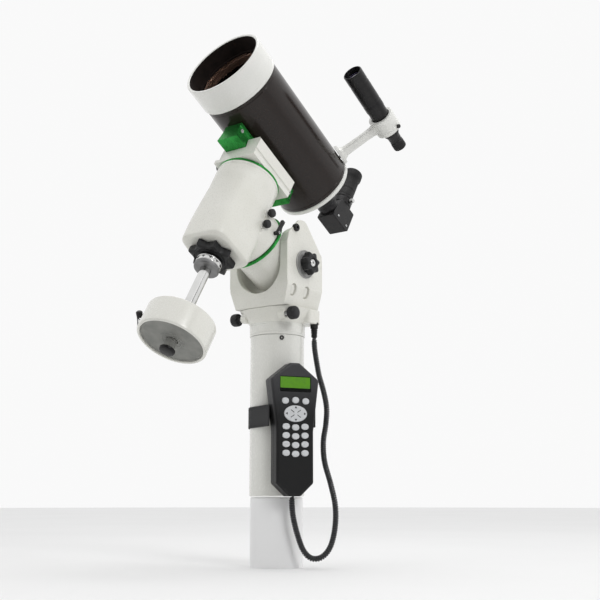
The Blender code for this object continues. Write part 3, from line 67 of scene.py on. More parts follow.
def linked(name, data):
    """A new object in the scene."""
    made = bpy.data.objects.new(name, data)
    bpy.context.scene.collection.objects.link(made)
    return made


def build_camera():
    data = bpy.data.cameras.new("camera")
    data.lens = LENS
    data.sensor_width = 36.0
    camera = linked("camera", data)
    camera.location = EYE
    camera.rotation_euler = (AIM - EYE).to_track_quat("-Z", "Y").to_euler()
    bpy.context.scene.camera = camera


# ======== axes of the assemblies
def axes(x_axis, y_axis, z_axis, origin):
    """A placing, in metres, from three axes and an origin."""
    turn = Matrix((x_axis, y_axis, z_axis)).transposed().to_4x4()
    return Matrix.Translation(origin) @ turn


ACROSS = Vector((1.0, 0.0, 0.0))
UP = Vector((0.0, 0.0, 1.0))
POLE = Vector(JOINTS["right_ascension"]["axis"])
DEC_UP = Vector(JOINTS["declination"]["axis"])
HINGE = Vector(JOINTS["altitude_tilt"]["pos_m"])
HEAD = Vector(JOINTS["declination"]["pos_m"])
AZ_KNOB = Vector(JOINTS["azimuth_knob_right_turn"]["pos_m"])
KEYS_OUT = -Vector(JOINTS["keypad_press"]["axis"])

WORLD = Matrix.Identity(4)
POLAR = axes(ACROSS, DEC_UP, POLE, HINGE)
DEC = axes(ACROSS, -POLE, DEC_UP, HEAD)
SCOPE = axes(ACROSS, DEC_UP, POLE, HEAD + SCOPE_HEIGHT * MM * DEC_UP)
HANDSET_REACH = 64.0
HANDSET_HALF = 105.5
HANDSET = axes(UP.cross(KEYS_OUT), UP, KEYS_OUT, KEYS_OUT * HANDSET_REACH * MM + UP * HANDSET_HALF * MM)


# ======== materials
def node(tree, kind, **values):
    made = tree.nodes.new(kind)
    for key, value in values.items():
        if hasattr(made, key):
            setattr(made, key, value)
        else:
            made.inputs[key.replace("_", " ")].default_value = value
    return made


def start_look(name, colour, rough, metal, coat=0.0, gloss=0.5):
    made = bpy.data.materials.new(name)
    made.use_nodes = True
    made.diffuse_color = (*colour, 1.0)
    tree = made.node_tree
    shader = tree.nodes["Principled BSDF"]
    shader.inputs["Base Color"].default_value = (*colour, 1.0)
    shader.inputs["Roughness"].default_value = rough
    shader.inputs["Metallic"].default_value = metal
    shader.inputs["Coat Weight"].default_value = coat
    shader.inputs["Coat Roughness"].default_value = 0.08
    shader.inputs["Specular IOR Level"].default_value = gloss
    return made, tree, shader


def object_space(tree, stretch=(1.0, 1.0, 1.0)):
    coords = node(tree, "ShaderNodeTexCoord")
    mapping = node(tree, "ShaderNodeMapping")
    mapping.inputs["Scale"].default_value = stretch
    tree.links.new(coords.outputs["Object"], mapping.inputs["Vector"])
    return mapping.outputs["Vector"]


def noise(tree, vector, scale, detail=3.0):
    made = node(tree, "ShaderNodeTexNoise", Scale=scale, Detail=detail)
    tree.links.new(vector, made.inputs["Vector"])
    return made.outputs["Fac"]


def blended(tree, amount, first, second):
    """A colour between two, by an amount that was worked out over the surface."""
    mix = node(tree, "ShaderNodeMix", data_type="RGBA")
    mix.inputs[6].default_value = (*first, 1.0)
    mix.inputs[7].default_value = (*second, 1.0)
    tree.links.new(amount, mix.inputs[0])
    return mix.outputs[2]


def ranged(tree, amount, low, high, from_low=0.3, from_high=0.7):
    made = node(tree, "ShaderNodeMapRange")
    for socket, value in (("From Min", from_low), ("From Max", from_high), ("To Min", low),
                          ("To Max", high)):
        made.inputs[socket].default_value = value
    tree.links.new(amount, made.inputs["Value"])
    return made.outputs["Result"]


def bumped(tree, shader, height, strength, depth):
    bump = node(tree, "ShaderNodeBump", Strength=strength, Distance=depth)
    tree.links.new(height, bump.inputs["Height"])
    tree.links.new(bump.outputs["Normal"], shader.inputs["Normal"])
    if shader.inputs["Coat Weight"].default_value > 0.0:
        tree.links.new(bump.outputs["Normal"], shader.inputs["Coat Normal"])


def look(name, colour, other, rough, spread=0.06, metal=0.0, coat=0.0, mottle=45.0, grain=1400.0,
         strength=0.15, depth=0.0002, stretch=(1.0, 1.0, 1.0), gloss=0.5):
    """A surface with slow changes of tone, fine grain in its relief and an uneven gloss."""
    made, tree, shader = start_look(name, colour, rough, metal, coat, gloss)
    space = object_space(tree, stretch)
    cloud = noise(tree, object_space(tree), mottle, 4.0)
    fine = noise(tree, space, grain, 3.0)
    amount = ranged(tree, cloud, 0.0, 1.0)
    tree.links.new(blended(tree, amount, colour, other), shader.inputs["Base Color"])
    tree.links.new(ranged(tree, fine, rough - spread, rough + spread), shader.inputs["Roughness"])
    bumped(tree, shader, fine, strength, depth)
    return made


def turned_metal(name, colour, other, rough, spread, rings=2600.0, strength=0.12):
    """Metal with the fine rings that a lathe leaves, about local Z."""
    made, tree, shader = start_look(name, colour, rough, 1.0)
    rings_noise = noise(tree, object_space(tree, (0.02, 0.02, 1.0)), rings, 2.0)
    smear = noise(tree, object_space(tree), 70.0, 3.0)
    tree.links.new(blended(tree, ranged(tree, smear, 0.0, 1.0), colour, other), shader.inputs["Base Color"])
    tree.links.new(ranged(tree, rings_noise, rough - spread, rough + spread), shader.inputs["Roughness"])
    bumped(tree, shader, rings_noise, strength, 0.00008)
    return made


def math_node(tree, operation, first, second=None):
    made = node(tree, "ShaderNodeMath", operation=operation)
    for socket, value in zip(made.inputs, (first, second)):
        if value is None:
            continue
        if isinstance(value, float):
            socket.default_value = value
        else:
            tree.links.new(value, socket)
    return made.outputs[0]


def split(tree):
    coords = node(tree, "ShaderNodeTexCoord")
    parts = node(tree, "ShaderNodeSeparateXYZ")
    tree.links.new(coords.outputs["Object"], parts.inputs["Vector"])
    return parts.outputs


def webbing_look(name, colour, other, pitch):
    """Plain-woven band about the vertical axis: threads over and under each other."""
    made, tree, shader = start_look(name, colour, 0.82, 0.0)
    shader.inputs["Sheen Weight"].default_value = 0.06
    x, y, z = split(tree)
    turn = math_node(tree, "ARCTAN2", y, x)
    round_thread = math_node(tree, "SINE", math_node(tree, "MULTIPLY", turn, 0.047 * TAU / pitch))
    up_thread = math_node(tree, "SINE", math_node(tree, "MULTIPLY", z, TAU / pitch))
    weave = math_node(tree, "MULTIPLY", round_thread, up_thread)
    amount = ranged(tree, weave, 0.0, 1.0, -1.0, 1.0)
    fuzz = noise(tree, object_space(tree), 2500.0)
    height = math_node(tree, "ADD", amount, math_node(tree, "MULTIPLY", fuzz, 0.5))
    tree.links.new(blended(tree, amount, colour, other), shader.inputs["Base Color"])
    tree.links.new(ranged(tree, fuzz, 0.74, 0.92), shader.inputs["Roughness"])
    bumped(tree, shader, height, 0.6, 0.0004)
    return made


def screen_look(name, colour, other, pitch):
    """A liquid-crystal panel: a fine grid of cells under a matt film, with a faint painted glow in its own colour.
    """
    made, tree, shader = start_look(name, colour, 0.32, 0.0, 0.25)
    x, y, _ = split(tree)
    across = math_node(tree, "SINE", math_node(tree, "MULTIPLY", x, TAU / pitch))
    along = math_node(tree, "SINE", math_node(tree, "MULTIPLY", y, TAU / pitch))
    cells = ranged(tree, math_node(tree, "MAXIMUM", across, along), 0.0, 0.45, 0.2, 1.0)
    film = noise(tree, object_space(tree), 160.0)
    amount = math_node(tree, "ADD", cells, ranged(tree, film, 0.0, 0.5))
    tree.links.new(blended(tree, amount, colour, other), shader.inputs["Base Color"])
    tree.links.new(ranged(tree, film, 0.26, 0.40), shader.inputs["Roughness"])
    # painted glow: the panel gives off its own colour faintly, though nothing in it is a lamp
    tree.links.new(blended(tree, amount, colour, other), shader.inputs["Emission Color"])
    shader.inputs["Emission Strength"].default_value = 0.12
    return made


def shell_look(name, low, high, from_y, to_y):
    """Moulded plastic of the controller: darker towards the grip, lighter towards the display."""
    made, tree, shader = start_look(name, low, 0.42, 0.0, gloss=0.3)
    parts = split(tree)
    rise = ranged(tree, parts[1], 0.0, 1.0, from_y, to_y)
    fine = noise(tree, object_space(tree), 3200.0, 2.0)
    tree.links.new(blended(tree, rise, low, high), shader.inputs["Base Color"])
    tree.links.new(ranged(tree, fine, 0.36, 0.50), shader.inputs["Roughness"])
    bumped(tree, shader, fine, 0.35, 0.0002)
    return made


def glass_look(name, tint, rough):
    made, tree, shader = start_look(name, tint, rough, 0.0)
    shader.inputs["Transmission Weight"].default_value = 1.0
    shader.inputs["IOR"].default_value = 1.22
    film = noise(tree, object_space(tree), 60.0)
    tree.links.new(ranged(tree, film, rough, rough + 0.02), shader.inputs["Roughness"])
    deeper = tuple(0.9 * part for part in tint)
    tree.links.new(blended(tree, ranged(tree, film, 0.0, 1.0), tint, deeper), shader.inputs["Base Color"])
    return made


LOOKS = {}


def add_finish(maker, name, slot, *values, **options):
    """Makes a surface and keeps it under its name; the slot, the part's material slot that it stands for, is not
    used.
    """
    LOOKS[name] = maker(name, *values, **options)


add_finish(look, "enamel", "enamel", (0.76, 0.755, 0.705), (0.735, 0.73, 0.675), 0.26, 0.05, coat=0.4,
           mottle=30.0, grain=700.0, strength=0.06)
add_finish(look, "cast_enamel", "enamel", (0.76, 0.755, 0.70), (0.72, 0.715, 0.655), 0.30, 0.06, coat=0.35,
           mottle=26.0, grain=520.0, strength=0.12, depth=0.0003)
add_finish(look, "pier_enamel", "enamel", (0.76, 0.76, 0.72), (0.74, 0.74, 0.695), 0.26, 0.04, coat=0.4,
           mottle=18.0, grain=900.0, strength=0.05, stretch=(1.0, 1.0, 0.25))
add_finish(look, "cell_enamel", "enamel", (0.77, 0.77, 0.74), (0.75, 0.75, 0.715), 0.26, 0.05, coat=0.4,
           mottle=35.0, grain=800.0, strength=0.05)
add_finish(look, "green", "green_anodised", (0.030, 0.33, 0.055), (0.020, 0.25, 0.040), 0.26, 0.08,
           metal=0.75, mottle=80.0, grain=1900.0, strength=0.10, stretch=(1.0, 1.0, 0.08))
add_finish(look, "black", "black_plastic", (0.009, 0.009, 0.010), (0.016, 0.016, 0.017), 0.40, 0.08,
           mottle=120.0, gloss=0.3, grain=2600.0, strength=0.25)
add_finish(look, "grip_black", "black_plastic", (0.007, 0.007, 0.0075), (0.014, 0.0135, 0.013), 0.55, 0.10,
           mottle=160.0, gloss=0.3, grain=3400.0, strength=0.35)
add_finish(look, "black_metal", "black_enamel", (0.010, 0.010, 0.011), (0.018, 0.017, 0.017), 0.32, 0.08,
           metal=0.2, gloss=0.3, mottle=90.0, grain=2200.0, strength=0.12)
add_finish(look, "tube_black", "black_enamel", (0.010, 0.0062, 0.0048), (0.016, 0.0095, 0.0070), 0.24, 0.05,
           coat=0.12, mottle=240.0, grain=4200.0, strength=0.05, gloss=0.30)
add_finish(look, "matt_black", "black_enamel", (0.008, 0.0055, 0.0048), (0.016, 0.0105, 0.0085), 0.85, 0.08,
           mottle=90.0, grain=1600.0, strength=0.3, gloss=0.15)
add_finish(turned_metal, "bright_steel", "bright_steel", (0.74, 0.74, 0.73), (0.66, 0.66, 0.65), 0.14, 0.06)
add_finish(turned_metal, "satin_steel", "steel", (0.60, 0.60, 0.60), (0.50, 0.50, 0.50), 0.26, 0.08,
           1800.0, 0.2)
add_finish(turned_metal, "dark_steel", "steel", (0.25, 0.25, 0.25), (0.19, 0.19, 0.19), 0.38, 0.08,
           1500.0, 0.2)
add_finish(turned_metal, "aluminium", "aluminium", (0.62, 0.63, 0.64), (0.55, 0.56, 0.57), 0.34, 0.08,
           1600.0, 0.25)
add_finish(turned_metal, "brass", "brass", (0.66, 0.47, 0.18), (0.56, 0.38, 0.14), 0.32, 0.08, 1700.0, 0.2)
add_finish(look, "iron_face", "steel", (0.20, 0.205, 0.19), (0.27, 0.27, 0.25), 0.58, 0.08, metal=0.25,
           mottle=60.0, grain=1100.0, strength=0.4, depth=0.0003)
add_finish(look, "knob_grey", "aluminium", (0.30, 0.30, 0.29), (0.38, 0.38, 0.37), 0.42, 0.08, metal=0.3,
           mottle=90.0, grain=1900.0, strength=0.2)
add_finish(turned_metal, "mirror", "mirror", (0.88, 0.88, 0.90), (0.86, 0.86, 0.88), 0.05, 0.02,
           300.0, 0.01)
add_finish(look, "board", "circuit_board", (0.02, 0.13, 0.05), (0.03, 0.17, 0.07), 0.45, 0.08, mottle=260.0,
           grain=1800.0)
add_finish(look, "keys", "key_rubber", (0.62, 0.63, 0.645), (0.56, 0.57, 0.585), 0.52, 0.06, mottle=140.0,
           grain=2400.0, strength=0.12)
add_finish(look, "cord", "cord_rubber", (0.020, 0.021, 0.023), (0.034, 0.035, 0.038), 0.50, 0.08,
           mottle=200.0, grain=2600.0, strength=0.2)
add_finish(look, "thread", "webbing", (0.030, 0.030, 0.033), (0.045, 0.045, 0.048), 0.75, 0.08,
           mottle=400.0, grain=5000.0, strength=0.4)
add_finish(webbing_look, "webbing", "webbing", (0.007, 0.007, 0.008), (0.022, 0.022, 0.024), 0.0011)
add_finish(screen_look, "screen", "display_window", (0.11, 0.31, 0.010), (0.055, 0.19, 0.006), 0.0009)
add_finish(look, "window", "display_window", (0.005, 0.006, 0.006), (0.010, 0.011, 0.010), 0.10, 0.03,
           coat=0.6, mottle=60.0, grain=600.0, strength=0.02)
add_finish(shell_look, "shell", "black_plastic", (0.006, 0.006, 0.0065), (0.040, 0.040, 0.043),
           0.020, 0.075)
add_finish(glass_look, "corrector", "glass", (0.60, 0.46, 0.40), 0.01)
add_finish(look, "lens", "glass", (0.010, 0.014, 0.030), (0.020, 0.012, 0.035), 0.05, 0.02, coat=0.9,
           mottle=40.0, grain=200.0, strength=0.01)


# ======== shapes, in millimetres
def lathe(profile, sides=ROUND, closed=False, ripple=None):
    """A turned solid about local Z from (radius, height) pairs.

    A ripple (flutes, depth, low, high) cuts flutes between two heights.
    """
    bm = bmesh.new()
    rings = []
    for radius, height in profile:
        if radius == 0:
            rings.append([bm.verts.new((0, 0, height))])
            continue
        row = []
        for i in range(sides):
            angle = TAU * i / sides
            reach = radius
            if ripple and ripple[2] < height < ripple[3]:
                reach -= 0.5 * ripple[1] * (1 - math.cos(ripple[0] * angle))
            row.append(bm.verts.new((reach * math.cos(angle), reach * math.sin(angle), height)))
        rings.append(row)
    pairs = list(zip(rings, rings[1:]))
    if closed:
        pairs.append((rings[-1], rings[0]))
    for low, high in pairs:
        for i in range(sides):
            j = (i + 1) % sides
            if len(low) == 1:
                bm.faces.new((low[0], high[i], high[j]))
            elif len(high) == 1:
                bm.faces.new((low[i], low[j], high[0]))
            else:
                bm.faces.new((low[i], low[j], high[j], high[i]))
    return bm


def loft(loops):
    """A solid through a stack of loops, capped at both ends."""
    bm = bmesh.new()
    rows = [[bm.verts.new(point) for point in loop] for loop in loops]
    count = len(rows[0])
    for low, high in zip(rows, rows[1:]):
        for i in range(count):
            j = (i + 1) % count
            bm.faces.new((low[i], low[j], high[j], high[i]))
    bm.faces.new(list(reversed(rows[0])))
    bm.faces.new(rows[-1])
    return bm


def prism(outline, low, high, ease=0):
    """An extruded outline. An ease shrinks the top edge, as a draft does."""
    if ease == 0:
        return loft([[(x, y, low) for x, y in outline], [(x, y, high) for x, y in outline]])
    small = [(x * (1 - ease), y * (1 - ease)) for x, y in outline]
    return loft([[(x, y, low) for x, y in outline], [(x, y, high) for x, y in small]])


def squared(half_x, half_y, power, z, sides=ROUND, shift=(0, 0)):
    """A loop between an ellipse (power 2) and a rounded rectangle (a higher power)."""
    loop = []
    for i in range(sides):
        angle = TAU * i / sides
        c = math.cos(angle)
        s = math.sin(angle)
        loop.append((half_x * math.copysign(abs(c) ** (2 / power), c) + shift[0],
                     half_y * math.copysign(abs(s) ** (2 / power), s) + shift[1], z))
    return loop


def rounded(corners, radius, steps=5):
    """An outline with its corners turned into arcs."""
    made = []
    count = len(corners)
    for i in range(count):
        corner = Vector(corners[i])
        before = Vector(corners[i - 1]) - corner
        after = Vector(corners[(i + 1) % count]) - corner
        half = 0.5 * before.angle(after)
        reach = min(radius / math.tan(half), 0.48 * before.length, 0.48 * after.length)
        start = corner + before.normalized() * reach
        end = corner + after.normalized() * reach
        for k in range(steps + 1):
            t = k / steps
            spot = (1 - t) ** 2 * start + 2 * t * (1 - t) * corner + t * t * end
            made.append((spot.x, spot.y))
    return made


def lobes(radius, depth, count, sides, sharpness=1):
    """A hand knob's outline: round lobes with valleys between them."""
    points = []
    for i in range(sides):
        angle = TAU * i / sides
        valley = (0.5 * (1 - math.cos(count * angle))) ** sharpness
        reach = radius - depth * valley
        points.append((reach * math.cos(angle), reach * math.sin(angle)))
    return points


def circle(radius, sides):
    return [(radius * math.cos(TAU * i / sides), radius * math.sin(TAU * i / sides)) for i in range(sides)]


def shrunk(outline, scale, z):
    return [(x * scale, y * scale, z) for x, y in outline]


def socket_screw(radius, low, high, socket, edge=0.4):
    """A round screw head with a hexagon socket in its top."""
    sides = 36
    hexagon = []
    for i in range(sides):
        angle = TAU * i / sides
        within = (angle % (TAU / 6)) - TAU / 12
        reach = socket * math.cos(TAU / 12) / math.cos(within)
        hexagon.append((reach * math.cos(angle), reach * math.sin(angle)))
    disc = circle(1, sides)
    floor = high - 0.6 * (high - low)
    return loft([shrunk(disc, radius, low), shrunk(disc, radius, high - edge),
                 shrunk(disc, radius - edge, high), shrunk(hexagon, 1, high), shrunk(hexagon, 1, floor)])


def threaded(radius, low, high, pitch, depth=0.35):
    """The profile of a screw thread, as even ridges."""
    points = [(0, low), (radius - depth, low)]
    count = max(1, int((high - low) / pitch))
    for i in range(count):
        points.append((radius, low + (i + 0.5) * (high - low) / count))
        points.append((radius - depth, low + (i + 1) * (high - low) / count))
    return points + [(0, high)]


def towards(axis, at=(0, 0, 0)):
    """A placing whose local Z runs along an axis."""
    return Matrix.Translation(at) @ Vector(axis).to_track_quat("Z", "Y").to_matrix().to_4x4()


def sideways(y, z, side=1):
    """A placing whose local Z runs along X, to one side or the other."""
    return towards((side, 0, 0), (0, y, z))


def moved(bm, place):
    bmesh.ops.transform(bm, matrix=place, verts=bm.verts)
    return bm


def shifted(bm, x=0, y=0, z=0):
    return moved(bm, Matrix.Translation((x, y, z)))


def joined(*parts):
    """Several solids as one piece."""
    whole = bmesh.new()
    for part in parts:
        mesh = bpy.data.meshes.new("part")
        part.to_mesh(mesh)
        part.free()
        whole.from_mesh(mesh)
        bpy.data.meshes.remove(mesh)
    return whole


def smooth_path(points, steps):
    """Points on a Catmull-Rom curve through the given ones."""
    knots = [Vector(p) for p in points]
    knots = [2 * knots[0] - knots[1]] + knots + [2 * knots[-1] - knots[-2]]
    dense = []
    for a, b, c, d in zip(knots, knots[1:], knots[2:], knots[3:]):
        for k in range(steps):
            t = k / steps
            dense.append(0.5 * (2 * b + (c - a) * t + (2 * a - 5 * b + 4 * c - d) * t * t
                                + (3 * b - a - 3 * c + d) * t ** 3))
    dense.append(knots[-2])
    return dense


def as_object(name, bm, scale=1):
    """A shape as a new object in the scene, facing outwards."""
    bmesh.ops.recalc_face_normals(bm, faces=bm.faces)
    if scale != 1:
        bmesh.ops.scale(bm, vec=(scale, scale, scale), verts=bm.verts)
    mesh = bpy.data.meshes.new(name)
    bm.to_mesh(mesh)
    bm.free()
    return linked(name, mesh)


def carved(solid, steps, voxel=0, rounds=0):
    """Cuts and adds shapes in turn. A voxel size then melts the edges together, as in a casting."""
    base = as_object("base", solid)
    tools = []
    for operation, shape in steps:
        tool = as_object("tool", shape)
        tools.append(tool)
        cut = base.modifiers.new("cut", "BOOLEAN")
        cut.operation = operation
        cut.object = tool
        cut.solver = "MANIFOLD"
    if voxel > 0:
        melt = base.modifiers.new("melt", "REMESH")
        melt.mode = "VOXEL"
        melt.voxel_size = voxel
        relax = base.modifiers.new("relax", "SMOOTH")
        relax.factor = 0.5
        relax.iterations = rounds
    bpy.context.view_layer.update()
    graph = bpy.context.evaluated_depsgraph_get()
    mesh = bpy.data.meshes.new_from_object(base.evaluated_get(graph))
    made = bmesh.new()
    made.from_mesh(mesh)
    bpy.data.meshes.remove(mesh)
    for old in [base, *tools]:
        bpy.data.objects.remove(old, do_unlink=True)
    return made


def piece(name, bm, place, finish_name, replaces=None, on=None, bevel=0, segments=2, angle=32):
    """A visible piece: to metres, shaded, bevelled, given its look and tied to its body."""
    made = as_object(name, bm, MM)
    mesh = made.data
    mesh.shade_smooth()
    mesh.materials.append(LOOKS[finish_name])
    made.matrix_world = place
    if bevel > 0:
        ease = made.modifiers.new("edges", "BEVEL")
        ease.width = bevel * MM
        ease.segments = segments
        ease.limit_method = "ANGLE"
        ease.angle_limit = math.radians(angle)
        ease.use_clamp_overlap = True
        flat = made.modifiers.new("shading", "WEIGHTED_NORMAL")
        flat.keep_sharp = False
    else:
        mesh.set_sharp_from_angle(angle=math.radians(angle))
    nodes = [replaces] if isinstance(replaces, str) else list(replaces or [])
    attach(made, NODE_BODY[(nodes + [on])[0]])
    if nodes:
        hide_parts(*nodes)
    return made


# ======== pier and azimuth base
PIER_RADIUS = 45
PIER_TOP = 262
BASE_TOP = 307.5
SEAT = PIER_TOP + GAP
COLLAR_TOP = SEAT + 20


def build_pier():
    edge = 1.5
    profile = [(0, 0), (PIER_RADIUS - edge, 0), (PIER_RADIUS, edge), (PIER_RADIUS, PIER_TOP),
               (PIER_RADIUS - 4, PIER_TOP), (PIER_RADIUS - 4, 8), (0, 8)]
    piece("pier_tube", lathe(profile, 128), WORLD, "pier_enamel", "pier_column", bevel=0.6)
    turn = math.radians(-42)
    place = Matrix.Translation(UP * 0.256) @ towards((math.cos(turn), math.sin(turn), 0))
    piece("pier_grub_screw", socket_screw(3.7, PIER_RADIUS - 2, PIER_RADIUS + 1.8, 1.9), place,
          "black_metal", "pier_set_screw")


def build_base():
    collar = [(0, SEAT - 18), (40.7, SEAT - 18), (40.7, SEAT), (45.8, SEAT), (46.5, SEAT + 0.7),
              (46.5, SEAT + 3.4), (45.8, SEAT + 4), (46.5, SEAT + 4.6), (46.5, COLLAR_TOP - 3.6),
              (45.8, COLLAR_TOP - 3), (46.5, COLLAR_TOP - 2.4), (46.5, COLLAR_TOP + 0.5),
              (0, COLLAR_TOP + 0.5)]
    piece("base_collar", lathe(collar, 128), WORLD, "pier_enamel", on="azimuth_base", bevel=0.25)
    rows = smooth_path([(COLLAR_TOP, 46.5, 46.5, 2), (294.9, 54, 47.5, 2.6), (BASE_TOP, 60, 49, 3.4)], 8)
    body = loft([squared(row[1], row[2], row[3], row[0]) for row in rows])
    rear = loft([squared(61, 19, 7, z, SMALL, (0, 25)) for z in (COLLAR_TOP + 1, BASE_TOP - GAP)])
    steps = [("UNION", rear)]
    for side in (-1, 1):
        at_knob = sideways(AZ_KNOB.y / MM, AZ_KNOB.z / MM, side)
        steps.append(("UNION", moved(lathe([(0, 34), (9, 34), (7.5, 47), (0, 47)], SMALL), at_knob)))
        steps.append(("DIFFERENCE", moved(lathe([(0, 44), (4.2, 44), (4.2, 60), (0, 60)], SMALL), at_knob)))
    steps.append(("DIFFERENCE", shifted(lathe([(0, 270), (7.4, 270), (7.4, 287.4), (0, 287.4)], SMALL),
                                        CORD_X, CORD_Y)))
    piece("base_casting", carved(body, steps, 1, 4), WORLD, "cast_enamel", "azimuth_base")


def build_azimuth_knobs():
    for side, name in ((-1, "left"), (1, "right")):
        place = sideways(AZ_KNOB.y, AZ_KNOB.z, side)
        out = AZ_KNOB.x / MM
        head = [(0, out - 3), (6.4, out - 3), (6.6, out), (9.2, out), (10.6, out + 1.4), (11, out + 3.4),
                (11, out + 5.6), (11, out + 7.8), (11, out + 10), (10.4, out + 12), (8.8, out + 13.4),
                (5.6, out + 14), (0, out + 14)]
        node_name = "azimuth_knob_" + name
        piece(node_name + "_grip", lathe(head, ROUND, ripple=(24, 0.7, out + 3, out + 10.5)),
              place, "black", node_name, bevel=0.3)
        piece(node_name + "_screw", lathe(threaded(3, 28, out - 2.8, 1), SMALL), place, "satin_steel",
              on=node_name)


# ======== fork
FORK_HALF = 62
FORK_INNER = 47
FORK_FRONT = -52
FORK_REAR = 44
FORK_FLOOR = 320
SHOULDER = 345
HINGE_Y = HINGE.y / MM
HINGE_Z = HINGE.z / MM
OVALS = (-33, 2)       # the two shallow recesses on the foot of an arm, along Y
OVAL_Z = 333
SIDE_VIEW = Matrix(((0, 0, 1, 0), (1, 0, 0, 0), (0, 1, 0, 0), (0, 0, 0, 1)))
END_VIEW = Matrix(((1, 0, 0, 0), (0, 0, -1, 0), (0, 1, 0, 0), (0, 0, 0, 1)))


def fork_side():
    """The arms' outline from the side, as (y, z) points."""
    points = [(FORK_FRONT + 4, BASE_TOP + GAP), (FORK_FRONT, SHOULDER), (FORK_FRONT, 412),
              (FORK_FRONT + 5, 428)]
    for i in range(13):
        angle = math.radians(150 - 104 * i / 12)
        points.append((HINGE_Y - 6 + 16.9 * math.cos(angle), 441.5 + 13.5 * math.sin(angle)))
    return points + [(FORK_REAR - 1, 402), (FORK_REAR, 394), (FORK_REAR, BASE_TOP + GAP)]


def ring_sweep():
    """The groove in the arms that lets the polar ring pass, as (y, z) points."""
    rims = []
    for reach in (64, 80):
        rises = [math.radians(-12 + 100 * i / 40) for i in range(41)]
        rims.append([(HINGE_Y - reach * math.cos(a), HINGE_Z + reach * math.sin(a)) for a in rises])
    return rims[0] + rims[1][::-1]


def box_shape(low, high):
    return prism([(low[0], low[1]), (high[0], low[1]), (high[0], high[1]), (low[0], high[1])],
                 low[2], high[2])


TAPER = math.atan2(12, SHOULDER - BASE_TOP)    # lean of the arms' feet


def on_taper(y, z):
    """A placing on the right arm's tapered foot, with local Z out of its face."""
    x = FORK_HALF - (SHOULDER - z) * math.tan(TAPER)
    return Matrix.Translation((x, y, z)) @ Matrix.Rotation(math.pi / 2 + TAPER, 4, "Y")


def build_fork():
    body = moved(prism(fork_side(), -FORK_HALF, FORK_HALF), SIDE_VIEW)
    axis_z = 331 + FORK_INNER
    turns = [math.pi * (1 + i / 48) for i in range(49)]
    cradle = [(FORK_INNER * math.cos(a), axis_z + FORK_INNER * math.sin(a)) for a in turns]
    cradle += [(FORK_INNER, 475), (-FORK_INNER, 475)]
    steps = [("DIFFERENCE", box_shape((-47.02, FORK_FRONT + 12, FORK_FLOOR), (47.02, 64, 480))),
             ("DIFFERENCE", moved(prism(cradle, 0, 62), END_VIEW)),
             ("DIFFERENCE", moved(prism(ring_sweep(), -57.5, 57.5), SIDE_VIEW))]
    for side in (-1, 1):
        corners = [(0, BASE_TOP - 1), (12, BASE_TOP - 1), (12, SHOULDER)]
        lean = Matrix(((side, 0, 0, side * (FORK_HALF - 10)), (0, 0, -side, 0),
                       (0, 1, 0, 0), (0, 0, 0, 1)))
        steps.append(("DIFFERENCE", moved(prism(corners, -70, 70), lean)))
    for y in OVALS:
        cut = loft([squared(10.4, 7.4, 2.4, z, SMALL) for z in (-4.5, 6)])
        steps.append(("DIFFERENCE", moved(cut, on_taper(y, OVAL_Z))))
    piece("fork_body", carved(body, steps, 1, 4), WORLD, "cast_enamel", "fork_casting")
    for y, name in zip(OVALS, ("front", "rear")):
        rows = ((0, -5), (0, -1.2), (0.9, -0.6))
        plug = loft([squared(8.2 - inset, 5.2 - inset, 2.4, z, SMALL) for inset, z in rows])
        piece("arm_plug_" + name, moved(plug, on_taper(y, OVAL_Z)), WORLD, "enamel",
              on="fork_casting", bevel=0.3)
    boss = [(0, FORK_HALF - 1), (24, FORK_HALF - 1), (24, FORK_HALF + 1.6), (23.2, FORK_HALF + 2.4),
            (22.4, FORK_HALF + 2.4), (22.4, FORK_HALF + 1.4), (21.6, FORK_HALF + 1.4),
            (21.6, FORK_HALF + 3), (0, FORK_HALF + 3)]
    at_hinge = sideways(HINGE_Y, HINGE_Z)
    piece("hinge_boss", moved(lathe(boss), at_hinge), WORLD, "knob_grey", on="fork_casting", bevel=0.25)
    screw = moved(socket_screw(6.5, FORK_HALF - 2, FORK_HALF + 4.3, 2.6, 0.9), sideways(-30, 438))
    piece("arm_cap_screw", screw, WORLD, "black_metal", "arm_screw", bevel=0.2)


def build_star_knob():
    place = Matrix.Translation(HINGE) @ Matrix.Rotation(math.pi / 2, 4, "Y")
    low = FORK_HALF + GAP + 3
    sides = 168
    outline = lobes(20, 5.2, 7, sides, 0.8)
    skirt = circle(15, sides)
    layers = [shrunk(skirt, 1, low), shrunk(skirt, 1, low + 2), shrunk(outline, 0.96, low + 3),
              shrunk(outline, 1, low + 5), shrunk(outline, 1, low + 11.5),
              shrunk(outline, 0.93, low + 14.2), shrunk(outline, 0.84, low + 15),
              shrunk(skirt, 0.62, low + 15), shrunk(skirt, 0.56, low + 12.6)]
    piece("star_knob", loft(layers), place, "black", "altitude_lock_knob", bevel=0.5)
    piece("star_knob_screw", socket_screw(6.2, low + 12, low + 14.6, 2.6, 0.7), place, "bright_steel",
          on="altitude_lock_knob", bevel=0.2)


